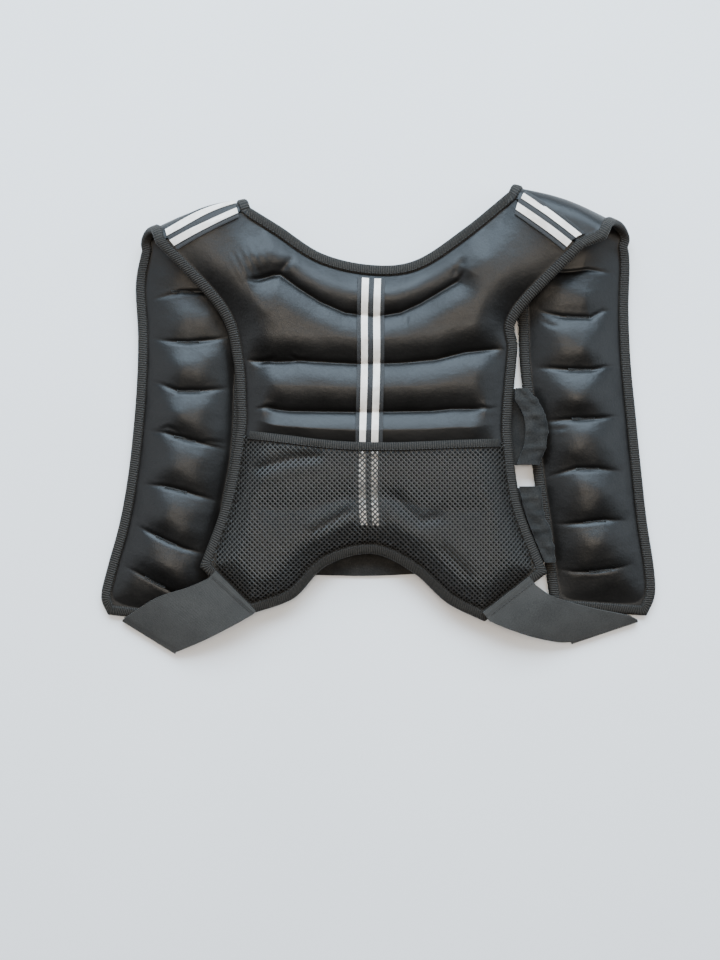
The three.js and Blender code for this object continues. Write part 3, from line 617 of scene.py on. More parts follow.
class Finish:
    """A finish that is built once and shared by its pieces."""

    slot = ""

    def __init__(self) -> None:
        """Starts with no material built."""
        self._made: Material | None = None

    def build(self) -> Material:
        """Builds the material."""
        raise NotImplementedError

    @property
    def material(self) -> Material:
        """The material, built at its first use."""
        if self._made is None:
            self._made = self.build()
        return self._made


class Neoprene(Finish):
    """Smooth knit-faced neoprene: dark, satin, with a fine knit and slow changes of gloss."""

    slot = "neoprene"

    def build(self) -> Material:
        """Dark satin with a knit grain of half a millimetre."""
        r = Recipe("neoprene")
        cloud = r.noise(22.0, 3.0)
        grain = r.noise(1900.0, 1.0)
        scuff = r.noise(420.0, 4.0)
        colour = r.ramp(cloud, (0.003, 0.0027, 0.0024), (0.0054, 0.0049, 0.0044))
        rough = r.math("ADD", r.span(cloud, 0.39, 0.46), r.span(scuff, -0.02, 0.03))
        slack = r.relief(r.noise(75.0, 3.0), 0.8, 0.55)
        under = r.relief(scuff, 0.14, 0.7, slack)
        normal = r.relief(grain, 0.1, 0.7, under)
        return r.finish(colour, rough, normal, sheen=0.0, specular=0.31)


class RibbedTape(Finish):
    """Woven binding tape with ribs across it."""

    slot = "binding_tape"

    def build(self) -> Material:
        """Ribs 2.1 mm apart along the tape, with painted shade in the grooves and painted light on the
        crowns, and a fuzzy grain.
        """
        r = Recipe("ribbed_tape")
        ribs = r.rib(r.uv(False), 2.1)
        fine = r.rib(r.uv(True), 0.8)
        grain = r.noise(900.0, 3.0)
        # The colour follows the ribs: painted shade in the grooves and painted light on the crowns, mixed
        # with a random grain.
        mixed = r.math("ADD", r.math("MULTIPLY", ribs, 0.24), grain)
        colour = r.ramp(mixed, (0.004, 0.0035, 0.0028), (0.036, 0.031, 0.025), 0.3, 0.85)
        under = r.relief(ribs, 0.22, 0.8)
        fine_normal = r.relief(fine, 0.05, 0.5, under)
        normal = r.relief(grain, 0.14, 0.7, fine_normal)
        return r.finish(colour, 0.66, normal, sheen=0.03, specular=0.24)


class NetYarn(Finish):
    """Knitted net: dark yarn with fine fuzz."""

    slot = "pocket_mesh"

    def build(self) -> Material:
        """Dark yarn, lighter and darker in a fine random grain."""
        r = Recipe("net_yarn")
        grain = r.noise(1400.0, 3.0)
        colour = r.ramp(grain, (0.011, 0.01, 0.0085), (0.04, 0.037, 0.032))
        normal = r.relief(grain, 0.1, 0.6)
        return r.finish(colour, 0.36, normal, sheen=0.02, specular=0.48)


class WovenTape(Finish):
    """Flat woven tape with a fine twill."""

    slot = "dark_tape"

    def build(self) -> Material:
        """Fine crossed ribs, and a cord along each edge."""
        r = Recipe("woven_tape")
        along = r.uv(False)
        across = r.uv(True)
        twill = r.rib(r.math("ADD", along, across), 1.1)
        cross = r.rib(along, 0.9)
        grain = r.noise(1100.0, 2.0)
        # The colour follows the twill: painted shade in its grooves and painted light on its ridges, mixed
        # with a random grain.
        weave = r.math("ADD", r.math("MULTIPLY", twill, 0.14), grain)
        colour = r.ramp(weave, (0.007, 0.007, 0.0072), (0.028, 0.0275, 0.028), 0.3, 0.75)
        under = r.relief(twill, 0.1, 0.7)
        normal = r.relief(cross, 0.06, 0.5, under)
        return r.finish(colour, 0.62, normal, sheen=0.1, specular=0.45)


class PaleStripe(Finish):
    """Pale tape with a slight gloss."""

    slot = "reflective_stripe"

    def build(self) -> Material:
        """Warm off-white with a fine grain and faint soiling."""
        r = Recipe("pale_stripe")
        cloud = r.noise(90.0, 4.0)
        grain = r.noise(1600.0, 2.0)
        colour = r.ramp(cloud, (0.70, 0.63, 0.555), (0.86, 0.80, 0.73), 0.35, 0.6)
        under = r.relief(r.rib(r.uv(False), 0.7), 0.04, 0.4)
        normal = r.relief(grain, 0.04, 0.4, under)
        return r.finish(colour, r.span(cloud, 0.42, 0.52), normal, specular=0.5)


class Elastic(Finish):
    """Wide knitted elastic with fine ribs along it."""

    slot = "elastic"

    def build(self) -> Material:
        """Fine ribs along the band, crossed by finer picks, with a dusty grain."""
        r = Recipe("elastic")
        ribs = r.rib(r.uv(True), 1.3)
        picks = r.rib(r.uv(False), 0.9)
        grain = r.noise(1300.0, 3.0)
        cloud = r.noise(30.0, 3.0)
        mixed = r.math("ADD", r.math("MULTIPLY", cloud, 0.4), r.math("MULTIPLY", grain, 0.6))
        colour = r.ramp(mixed, (0.022, 0.021, 0.019), (0.05, 0.048, 0.044), 0.35, 0.65)
        under = r.relief(ribs, 0.09, 0.7)
        fine = r.relief(picks, 0.06, 0.5, under)
        normal = r.relief(grain, 0.12, 0.7, fine)
        return r.finish(colour, 0.78, normal, sheen=0.1, specular=0.3)


class LoopFabric(Finish):
    """Brushed loop fabric of the closure straps."""

    slot = "loop_fabric"

    def build(self) -> Material:
        """A fuzzy pile in slow patches."""
        r = Recipe("loop_fabric")
        pile = r.noise(700.0, 4.0)
        patch = r.noise(60.0, 3.0)
        mixed = r.math("MULTIPLY", pile, patch)
        colour = r.ramp(mixed, (0.003, 0.003, 0.0028), (0.026, 0.024, 0.021), 0.12, 0.5)
        under = r.relief(patch, 0.5, 0.5)
        normal = r.relief(pile, 0.4, 0.9, under)
        return r.finish(colour, 0.8, normal, sheen=0.08, specular=0.3)


class Thread(Finish):
    """Dark sewing thread."""

    def build(self) -> Material:
        """Twisted thread with a slight gloss."""
        r = Recipe("thread")
        grain = r.noise(2500.0, 2.0)
        colour = r.ramp(grain, (0.004, 0.0038, 0.0035), (0.018, 0.017, 0.015))
        return r.finish(colour, 0.55, r.relief(grain, 0.08, 0.6), specular=0.5)


@dataclass
class Finishes:
    """All finishes of the vest."""

    neoprene: Neoprene = field(default_factory=Neoprene)
    ribbed: RibbedTape = field(default_factory=RibbedTape)
    net: NetYarn = field(default_factory=NetYarn)
    woven: WovenTape = field(default_factory=WovenTape)
    stripe: PaleStripe = field(default_factory=PaleStripe)
    elastic: Elastic = field(default_factory=Elastic)
    loop: LoopFabric = field(default_factory=LoopFabric)
    thread: Thread = field(default_factory=Thread)


# Meshes from grids

# Angle in degrees above which the edges of bands and tapes stay sharp
CRISP = 50


def grid_quads(rows: int, columns: int, first: int = 0) -> Array:
    """Quads of a grid whose points are numbered row by row.

    Args:
        rows: rows of points.
        columns: points in a row.
        first: number of the first point.

    Returns:
        Point numbers, four for each quad.
    """
    j, i = np.meshgrid(np.arange(rows - 1), np.arange(columns - 1), indexing="ij")
    a = first + j * columns + i
    return np.stack([a, a + 1, a + columns + 1, a + columns], -1).reshape(-1, 4)


def rim_of(rows: int, columns: int) -> Array:
    """Numbers of a grid's border points, once round.

    Args:
        rows: rows of points.
        columns: points in a row.

    Returns:
        The point numbers.
    """
    top = np.arange(columns - 1)
    right = np.arange(rows - 1) * columns + columns - 1
    bottom = (rows - 1) * columns + np.arange(columns - 1, 0, -1)
    left = np.arange(rows - 1, 0, -1) * columns
    return np.concatenate([top, right, bottom, left])


def outward(points: Array, faces: list[list[int]]) -> list[list[int]]:
    """The same faces, turned if they enclose a negative volume.

    Args:
        points: points of the mesh, one per row.
        faces: point numbers of each face, three or more.

    Returns:
        The faces, pointing outwards.
    """
    first = np.array([f[:3] for f in faces])
    last = np.array([[f[0], f[2], f[-1]] for f in faces])
    volume = 0.0
    for tri in (first, last):
        a, b, c = points[tri[:, 0]], points[tri[:, 1]], points[tri[:, 2]]
        volume += float((a * np.cross(b, c)).sum())
    return faces if volume > 0 else [f[::-1] for f in faces]


def add_object(name: str, data: bpy.types.ID) -> bpy.types.Object:
    """Adds an object with the given data to the scene."""
    made = bpy.data.objects.new(name, data)
    bpy.context.scene.collection.objects.link(made)
    return made


@dataclass
class Piece:
    """A mesh piece under way: points in plan millimetres, faces, and lengths for the weave."""

    name: str
    points: Array
    faces: list[list[int]]
    weave: Array | None = None

    def place(self, finish: Finish, nodes: tuple[str, ...] = (), crisp: float = 0.0) -> bpy.types.Object:
        """Writes the mesh, dresses it and ties it to the frame.

        Args:
            finish: the finish of the piece.
            nodes: nodes of the solids that it stands for.
            crisp: angle in degrees above which edges stay sharp, 0 for none.

        Returns:
            The new object.
        """
        local = (self.points - PLAN_MIDDLE) / 1000
        faces = outward(local, self.faces)
        mesh = bpy.data.meshes.new(self.name)
        mesh.from_pydata(local.tolist(), [], faces)
        mesh.polygons.foreach_set("use_smooth", np.ones(len(mesh.polygons), bool))
        if self.weave is not None:
            corners = np.zeros(len(mesh.loops), np.int32)
            mesh.loops.foreach_get("vertex_index", corners)
            layer = mesh.uv_layers.new(name="weave")
            layer.data.foreach_set("uv", (self.weave[corners] / 1000).astype(np.float32).ravel())
        mesh.materials.append(finish.material)
        mesh.update()
        if crisp:
            mesh.set_sharp_from_angle(angle=math.radians(crisp))
        made = add_object(self.name, mesh)
        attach(made, "root")
        if nodes:
            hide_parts(*nodes)
        LOG.info("%s: %d faces", self.name, len(faces))
        return made


def shell(name: str, upper: Array, lower: Array, weave: Array | None = None, step: int = 1) -> Piece:
    """A closed shell between two grids of points.

    The lower grid takes every step-th line of its points, and its rim is joined to the whole upper rim.

    Args:
        name: the piece's name.
        upper: grid of points of the upper face.
        lower: grid of points of the lower face, like upper.
        weave: lengths along and across at each grid place.
        step: how many lines of the upper grid make one of the lower grid.

    Returns:
        The piece.
    """
    rows, columns = upper.shape[:2]
    few = lower[::step, ::step]
    points = np.concatenate([upper.reshape(-1, 3), few.reshape(-1, 3)])
    faces = grid_quads(rows, columns).tolist()
    low_rows, low_columns = few.shape[:2]
    faces += grid_quads(low_rows, low_columns, rows * columns)[:, ::-1].tolist()
    high = rim_of(rows, columns)
    low = rim_of(low_rows, low_columns) + rows * columns
    ahead = np.arange(len(low))
    band = [low[ahead], low[(ahead + 1) % len(low)]]
    band += [high[((ahead + 1) * step - k) % len(high)] for k in range(step + 1)]
    faces += np.stack(band, 1)[:, ::-1].tolist()
    if weave is not None:
        weave = np.concatenate([weave.reshape(-1, 2), weave[::step, ::step].reshape(-1, 2)])
    return Piece(name, points, faces, weave)


def ring_tube(name: str, rings: Array) -> Piece:
    """A tube through rings of points, capped at both ends.

    Args:
        name: the piece's name.
        rings: points of the rings, as rings by points by 3.

    Returns:
        The piece, with lengths along and round it.
    """
    count, size = rings.shape[:2]
    weave = weave_lengths(lengths_along(rings.mean(1)), lengths_along(rings[0])).reshape(-1, 2)
    j, i = np.meshgrid(np.arange(count - 1), np.arange(size), indexing="ij")
    a = j * size + i
    b = j * size + (i + 1) % size
    faces = np.stack([a, b, b + size, a + size], -1).reshape(-1, 4).tolist()
    faces.append(list(range(size))[::-1])
    faces.append([(count - 1) * size + k for k in range(size)])
    return Piece(name, rings.reshape(-1, 3), faces, weave)


def join(name: str, pieces: list[Piece]) -> Piece:
    """One piece from several, kept as separate shells.

    Args:
        name: the new piece's name.
        pieces: the pieces that it takes in.

    Returns:
        The piece.
    """
    points, faces, start = [], [], 0
    for piece in pieces:
        points.append(piece.points)
        faces += [[start + k for k in face] for face in piece.faces]
        start += len(piece.points)
    weaves = [p.weave if p.weave is not None else np.zeros((len(p.points), 2)) for p in pieces]
    return Piece(name, np.concatenate(points), faces, np.concatenate(weaves))


# Surfaces of the panels


@dataclass(frozen=True)
class Shoulder:
    """A turned shoulder: a lead over the top, then half a turn down to the lower layer.

    Places and flares are shares of width and length, and tape_lean is how far the tape leans over the
    turn at its neck end.
    """

    seam_arm: Pair
    seam_neck: Pair
    turn_arm: Pair
    turn_neck: Pair
    arm_radius: float
    neck_radius: float
    flare_arm: Pair
    flare_neck: Pair
    tape_lean: float
    flare_start: float = 0.8

    def radius(self, s: Array) -> Array:
        """Radius of the turn at a place across, arm side 0 to neck side 1."""
        return blend(self.arm_radius, self.neck_radius, s)

    def top(self, s: Array) -> Array:
        """Height of the middle surface before the turn."""
        return SIZES.shoulder_thickness / 2 + 2 * self.radius(s)

    def lead(self, s: Array) -> Array:
        """Length from the seam to the start of the turn."""
        seam = self.spot(self.seam_arm, self.seam_neck, s)
        return np.linalg.norm(seam - self.spot(self.turn_arm, self.turn_neck, s), axis=-1)

    def turned(self, s: Array) -> Array:
        """Length from the seam to the end of the turn."""
        return self.lead(s) + math.pi * self.radius(s)

    @staticmethod
    def spot(arm: Pair, neck: Pair, s: Array) -> Array:
        """A place on the plan between two ends, by straight blend.

        Args:
            arm: the arm end, as shares of width and length.
            neck: the neck end, likewise.
            s: place across, arm side 0 to neck side 1.

        Returns:
            Places on the plan, in millimetres.
        """
        a = np.array(arm) * PLAN_SCALE
        b = np.array(neck) * PLAN_SCALE
        return a + (b - a) * np.asarray(s)[..., None]

    def point(self, s: Array, travel: Array) -> Array:
        """Middle surface: straight from seam to turn, then a circle of the radius, moved by the flare.

        Args:
            s: place across, arm side 0 to neck side 1.
            travel: length from the seam in millimetres.

        Returns:
            The points.
        """
        radius, lead, top = self.radius(s), self.lead(s), self.top(s)
        seam = self.spot(self.seam_arm, self.seam_neck, s)
        turn = self.spot(self.turn_arm, self.turn_neck, s)
        share = np.clip(travel / np.maximum(lead, 1e-6), 0, 1)
        axis = (np.array(self.turn_neck) - np.array(self.turn_arm)) * PLAN_SCALE
        axis = axis / np.linalg.norm(axis)
        out = np.array([-axis[1], axis[0]])
        out = out if out[1] > 0 else -out
        angle = np.maximum(travel - lead, 0) / radius
        flare = self.spot(self.flare_arm, self.flare_neck, s)
        late = smooth_step((angle - self.flare_start) / (math.pi - self.flare_start))[..., None]
        plan = seam + (turn - seam) * share[..., None]
        plan = plan + out * (radius * np.sin(angle))[..., None] + flare * late
        z = top - radius * (1 - np.cos(angle))
        return np.concatenate([plan, z[..., None]], -1)


SHOULDERS = {
    Side.LEFT: Shoulder(
        seam_arm=(-0.392, 0.369),
        seam_neck=(-0.231, 0.445),
        turn_arm=(-0.392, 0.369),
        turn_neck=(-0.231, 0.445),
        arm_radius=15,
        neck_radius=9.5,
        flare_arm=(-0.033, -0.004),
        flare_neck=(-0.004, -0.007),
        tape_lean=8.0,
    ),
    Side.RIGHT: Shoulder(
        seam_arm=(0.36, 0.357),
        seam_neck=(0.235, 0.477),
        turn_arm=(0.4, 0.376),
        turn_neck=(0.2365, 0.4785),
        arm_radius=19,
        neck_radius=9.5,
        flare_arm=(0.052, -0.004),
        flare_neck=(0.006, -0.02),
        tape_lean=0.0,
    ),
}

BACK_PLACES = [0, 0.2, 0.3, 0.4, 0.5, 0.6, 0.7, 0.8, 1]
BACK_HEIGHT_PLACES = [0, 0.2, 0.5, 0.8, 1]


@dataclass(frozen=True)
class BackRow:
    """One sewn line of the back panel: shares of the width, length and rest height."""

    at: float
    x: tuple[float, ...]
    y: tuple[float, ...]
    z: tuple[float, ...]


BACK_ROWS = (
    BackRow(
        0,
        x=(-0.317, -0.233, -0.154, -0.092, -0.01, 0.063, 0.127, 0.192, 0.302),
        y=(-0.323, -0.424, -0.389, -0.318, -0.293, -0.332, -0.399, -0.438, -0.336),
        z=(0.47, 0.47, 0.42, 0.47, 0.47),
    ),
    BackRow(
        0.2,
        x=(-0.275, -0.177, -0.125, -0.073, -0.017, 0.038, 0.092, 0.152, 0.256),
        y=(-0.18, -0.198, -0.194, -0.18, -0.173, -0.18, -0.194, -0.203, -0.189),
        z=(0.4, 0.43, 0.43, 0.43, 0.4),
    ),
    BackRow(
        0.38,
        x=(-0.253, -0.154, -0.11, -0.063, -0.017, 0.035, 0.087, 0.144, 0.24),
        y=(-0.032, -0.046, -0.053, -0.058, -0.06, -0.06, -0.058, -0.055, -0.051),
        z=(0.36, 0.42, 0.44, 0.42, 0.36),
    ),
    BackRow(
        0.5,
        x=(-0.252, -0.154, -0.11, -0.063, -0.015, 0.035, 0.087, 0.144, 0.24),
        y=(0.021, 0.018, 0.016, 0.014, 0.014, 0.014, 0.014, 0.014, 0.012),
        z=(0.36, 0.42, 0.44, 0.42, 0.36),
    ),
    BackRow(
        0.665,
        x=(-0.258, -0.162, -0.113, -0.063, -0.013, 0.038, 0.09, 0.148, 0.249),
        y=(0.127, 0.124, 0.12, 0.115, 0.115, 0.115, 0.118, 0.124, 0.143),
        z=(0.42, 0.44, 0.44, 0.44, 0.4),
    ),
    BackRow(
        0.835,
        x=(-0.285, -0.217, -0.158, -0.087, -0.013, 0.062, 0.131, 0.196, 0.252),
        y=(0.23, 0.272, 0.29, 0.242, 0.221, 0.242, 0.293, 0.281, 0.219),
        z=(0.61, 0.58, 0.47, 0.58, 0.6),
    ),
    BackRow(
        1,
        x=(-0.392, -0.231, -0.177, -0.1, -0.01, 0.069, 0.154, 0.235, 0.36),
        y=(0.369, 0.445, 0.406, 0.348, 0.324, 0.334, 0.399, 0.477, 0.357),
        z=(0, 0, 0.45, 0, 0),
    ),
)

# Sewn lines of the back, on the plan in millimetres
UPPER_CHANNEL = (
    *((-121, 125), (-99, 131), (-91, 132), (-73, 119), (-54, 107), (-31, 97)),
    *((-3, 93), (21, 97), (39, 105), (58, 116), (75, 126), (81, 137)),
)
MIDDLE_CHANNEL = (
    *((-124, 53), (-96, 51), (-73, 52), (-17, 49), (21, 50)),
    *((54, 53), (82, 60), (110, 63), (122, 63)),
)
LOWER_CHANNEL = ((-108, 8), (-82, 5), (-17, 4), (49, 5), (70, 7), (101, 7))

# Channels below the pocket: place along, start and end across, depth
HIDDEN_CHANNELS = ((0.2, 0.08, 0.92, 0.7), (0.38, 0.02, 0.98, 0.6))


@dataclass
class BackSurface:
    """The back panel's middle surface across (s, left 0 to right 1) and along (v, bottom 0 to neck 1)."""

    edge_left: Array = field(init=False)
    edge_right: Array = field(init=False)
    edge_bottom: Array = field(init=False)
    edge_neck: Array = field(init=False)
    edge_top: Array = field(init=False)

    def __post_init__(self) -> None:
        """Samples the edges that distances are measured from."""
        t = np.linspace(0, 1, 73)
        still = np.zeros_like(t)
        self.edge_left = self.middle(still, t)
        self.edge_right = self.middle(still + 1, t)
        self.edge_bottom = self.middle(t, still)
        self.edge_top = self.middle(t, still + 1)
        self.edge_neck = self.middle(0.2 + 0.6 * t, still + 1)

    def middle(self, s: Array, v: Array) -> Array:
        """Middle surface: a smooth curve through the sewn lines, each a curve across the panel.

        Args:
            s: places across.
            v: places along.

        Returns:
            The points.
        """
        s, v = np.broadcast_arrays(np.asarray(s, float), np.asarray(v, float))
        xs, ys, zs = [], [], []
        for row in BACK_ROWS:
            xs.append(cornered(BACK_PLACES, row.x, s) * SIZES.width)
            ys.append(cornered(BACK_PLACES, row.y, s) * SIZES.length)
            heights = np.array(row.z) * SIZES.rest_height
            if row.at == 1:
                arm_to_neck = np.array([0.0, 1.0])
                heights[:2] = SHOULDERS[Side.LEFT].top(arm_to_neck)
                heights[3:] = SHOULDERS[Side.RIGHT].top(arm_to_neck[::-1])
            zs.append(cornered(BACK_HEIGHT_PLACES, heights, s))
        at = [row.at for row in BACK_ROWS]
        return np.stack([curve_at(at, np.array(t), v) for t in (xs, ys, zs)], -1)

    def plan_to_panel(self, plan: Array) -> tuple[Array, Array]:
        """Panel places whose middle surface lies at places on the plan, by Newton's rounds.

        Args:
            plan: places on the plan, one per row.

        Returns:
            The places across, and the places along.
        """
        left, wide, bottom, tall = -145, 280, -150, 330
        s = np.clip((plan[:, 0] - left) / wide, 0.05, 0.95)
        v = np.clip((plan[:, 1] - bottom) / tall, 0.05, 0.95)
        tiny, rounds = 1e-4, 9
        for _ in range(rounds):
            here = self.middle(s, v)[:, :2]
            ds = (self.middle(s + tiny, v)[:, :2] - here) / tiny
            dv = (self.middle(s, v + tiny)[:, :2] - here) / tiny
            miss = plan - here
            area = ds[:, 0] * dv[:, 1] - ds[:, 1] * dv[:, 0]
            area = np.where(np.abs(area) < 1e-6, 1e-6, area)
            step_s = (miss[:, 0] * dv[:, 1] - miss[:, 1] * dv[:, 0]) / area
            step_v = (ds[:, 0] * miss[:, 1] - ds[:, 1] * miss[:, 0]) / area
            s, v = (np.clip(a + np.clip(b, -0.15, 0.15), -0.2, 1.2) for a, b in ((s, step_s), (v, step_v)))
        return s, v

    def edge_distance(self, points: Array) -> Array:
        """Distance to the nearest bound edge."""
        edges = (self.edge_left, self.edge_right, self.edge_bottom, self.edge_neck)
        return nearest_edge(points, edges)

    def shoulder_share(self, s: Array, v: Array) -> Array:
        """1 in the shoulder straps, 0 in the body of the panel."""
        return smooth_step((v - 0.86) / 0.12) * smooth_step((np.abs(s - 0.5) - 0.22) / 0.06)

    def padding(self, s: Array, v: Array, points: Array, distance: Array) -> Array:
        """Padding over the middle surface.

        The full height falls to the channel floor by about (1 - distance / channel width) squared at each
        sewn line, and to half the edge thickness at the bound edges.

        Args:
            s: places across.
            v: places along.
            points: the middle surface there, one point per row.
            distance: distance of each point to the nearest bound edge.

        Returns:
            One height per point.
        """
        z = SIZES
        full = blend(z.back_pad, z.shoulder_thickness / 2, self.shoulder_share(s, v))
        dent = np.zeros_like(full)
        panel_length = 0.66 * z.length
        for at, start, stop, depth in HIDDEN_CHANNELS:
            near = np.maximum(0, 1 - np.abs(v - at) * panel_length / z.channel_width) ** 2
            ends = smooth_step((s - start) / 0.08) * smooth_step((stop - s) / 0.08)
            dent = np.maximum(dent, near * ends * depth)
        for line in (UPPER_CHANNEL, MIDDLE_CHANNEL, LOWER_CHANNEL):
            bent = np.array(line, float)
            away, along = distance_to_line(points[:, :2], bent)
            whole = lengths_along(bent)[-1]
            ends = smooth_step(np.minimum(along, whole - along) / z.channel_fade + 0.3)
            near = np.maximum(0, 1 - away / z.channel_width) ** 1.9
            dent = np.maximum(dent, near * ends)
        height = blend(full, z.channel_floor, dent)
        return blend(z.half_edge, height, swell(distance, z.rounding))


@dataclass(frozen=True)
class FrontRow:
    """A tacked line of a front panel: its ends as shares of width and length, pad height and tack depth."""

    arm: Pair
    neck: Pair
    rise: float
    tack: float


FRONT_ROWS = {
    Side.LEFT: (
        FrontRow((-0.437, 0.29), (-0.238, 0.258), 0.62, 0.5),
        FrontRow((-0.433, 0.18), (-0.242, 0.147), 0.85, 0.8),
        FrontRow((-0.435, 0.076), (-0.246, 0.055), 1, 1),
        FrontRow((-0.442, -0.032), (-0.252, -0.078), 1, 1),
        FrontRow((-0.452, -0.134), (-0.267, -0.18), 1, 1),
        FrontRow((-0.467, -0.233), (-0.285, -0.304), 0.88, 0.9),
        FrontRow((-0.488, -0.325), (-0.3, -0.396), 0.55, 0.6),
        FrontRow((-0.5, -0.39), (-0.31, -0.438), 0.5, 0),
        FrontRow((-0.489, -0.427), (-0.319, -0.45), 0.4, 0),
    ),
    Side.RIGHT: (
        FrontRow((0.456, 0.332), (0.246, 0.323), 0.62, 0.5),
        FrontRow((0.454, 0.233), (0.258, 0.244), 0.85, 0.8),
        FrontRow((0.458, 0.118), (0.263, 0.113), 1, 1),
        FrontRow((0.467, 0.005), (0.275, -0.005), 1, 1),
        FrontRow((0.477, -0.115), (0.288, -0.129), 1, 1),
        FrontRow((0.487, -0.224), (0.3, -0.23), 0.88, 0.9),
        FrontRow((0.5, -0.327), (0.31, -0.336), 0.6, 0.6),
        FrontRow((0.502, -0.387), (0.315, -0.378), 0.5, 0),
        FrontRow((0.488, -0.429), (0.319, -0.415), 0.4, 0),
    ),
}


# Lines that the tacks pull into the front panels, on the plan in millimetres
TACKED_LINES = {
    Side.LEFT: (
        ((-218, 110), (-200, 114), (-185, 118), (-163, 118), (-140, 112)),
        ((-218, 75), (-195, 71), (-179, 70), (-153, 73), (-132, 77)),
        ((-220, 35), (-204, 31), (-188, 24), (-168, 24), (-132, 28)),
        ((-222, -13), (-200, -15), (-181, -21), (-166, -25), (-134, -33)),
        ((-228, -63), (-203, -65), (-189, -68), (-170, -74), (-142, -82)),
        ((-236, -99), (-214, -109), (-198, -117), (-182, -124), (-156, -131)),
        ((-246, -138), (-228, -146), (-210, -156), (-190, -168), (-170, -176)),
    ),
    Side.RIGHT: (
        ((150, 136), (184, 137), (198, 139), (228, 135)),
        ((142, 104), (162, 97), (175, 94), (200, 93), (212, 100), (230, 101)),
        ((139, 47), (160, 46), (178, 44), (202, 44), (214, 47), (232, 48)),
        ((150, -5), (175, -3), (203, -2), (234, 1)),
        ((150, -60), (168, -54), (186, -49), (208, -49), (230, -52)),
        ((158, -101), (180, -101), (193, -100), (212, -97), (234, -98)),
        ((164, -143), (185, -146), (204, -146), (222, -143), (240, -139)),
    ),
}


# Number of the first sampled point of a front's long edges that lies below the turn
FIRST_LOWER_POINT = 32


@dataclass
class FrontSurface:
    """A front panel's middle surface across (s) and along (v).

    Across goes from arm side 0 to neck side 1, and along from the seam at -1 by the end of the turn at 0
    to the hem at the number of rows.
    """

    side: Side
    edges: tuple[Array, ...] = field(init=False)

    def __post_init__(self) -> None:
        """Samples the edges that distances are measured from."""
        v = self.places(FIRST_LOWER_POINT, 97)
        t = np.linspace(0, 1, 33)
        self.edges = (
            self.middle(np.zeros_like(v), v),
            self.middle(np.ones_like(v), v),
            self.middle(t, np.full_like(t, self.rows)),
        )

    @property
    def rows(self) -> int:
        """Number of tacked lines, and so the place of the hem."""
        return len(FRONT_ROWS[self.side])

    def places(self, turned: int, lower: int) -> Array:
        """Places along: a number of them in the shoulder's turn, and a number from its end to the hem."""
        return np.concatenate([np.linspace(-1, 0, turned + 1)[:-1], np.linspace(0, self.rows, lower)])

    def middle(self, s: Array, v: Array) -> Array:
        """Middle surface: the turned shoulder, then a smooth curve through the tacked lines.

        Args:
            s: places across.
            v: places along.

        Returns:
            The points.
        """
        s, v = np.broadcast_arrays(np.asarray(s, float), np.asarray(v, float))
        shoulder = SHOULDERS[self.side]
        turned = shoulder.turned(s)
        upper = shoulder.point(s, turned * (1 + np.minimum(v, 0)))
        leave = shoulder.point(s, turned)
        lines = [leave[..., :2]]
        for row in FRONT_ROWS[self.side]:
            lines.append(Shoulder.spot(row.arm, row.neck, s))
        table = np.array(lines)
        at = np.arange(len(lines))
        x = curve_at(at, table[..., 0], np.maximum(v, 0))
        y = curve_at(at, table[..., 1], np.maximum(v, 0))
        z = blend(leave[..., 2], SIZES.front_underside, smooth_step(v))
        lower = np.stack([x, y, z], -1)
        return np.where((v <= 0)[..., None], upper, lower)

    def padding(self, s: Array, v: Array, points: Array, padded: Array) -> Array:
        """Padding on the inner face.

        Pad heights along the panel, less the tack depth times (1 - distance / tack reach) squared
        at each tacked line, most of it in the middle of the panel.

        Args:
            s: places across.
            v: places along.
            points: the middle surface there, one point per row.
            padded: share of the full padding at each point.

        Returns:
            One height per point.
        """
        z = SIZES
        rows = FRONT_ROWS[self.side]
        centres = [0.0] + [k + 1.5 for k in range(len(rows))]
        heights = [z.shoulder_thickness / 2] + [row.rise * z.front_pad for row in rows]
        full = np.where(v <= 0, z.shoulder_thickness / 2, curve_at(centres, heights, np.maximum(v, 0)))
        dent = np.zeros_like(full)
        across = 0.4 + 0.6 * np.exp(-(((s - 0.5) / 0.27) ** 2))
        for row, line in zip(rows, TACKED_LINES[self.side]):
            away, _ = distance_to_line(points[:, :2], np.array(line, float))
            near = np.maximum(0, 1 - away / z.tack_reach) ** 2
            dent = np.maximum(dent, row.tack * near * across * smooth_step(v / 0.5))
        height = np.maximum(z.channel_floor, full - z.tack_depth * dent)
        return blend(z.half_edge, height, padded)


# Bound edges and threads

THREAD_SIDES = 5
THREAD_RADIUS = 0.42


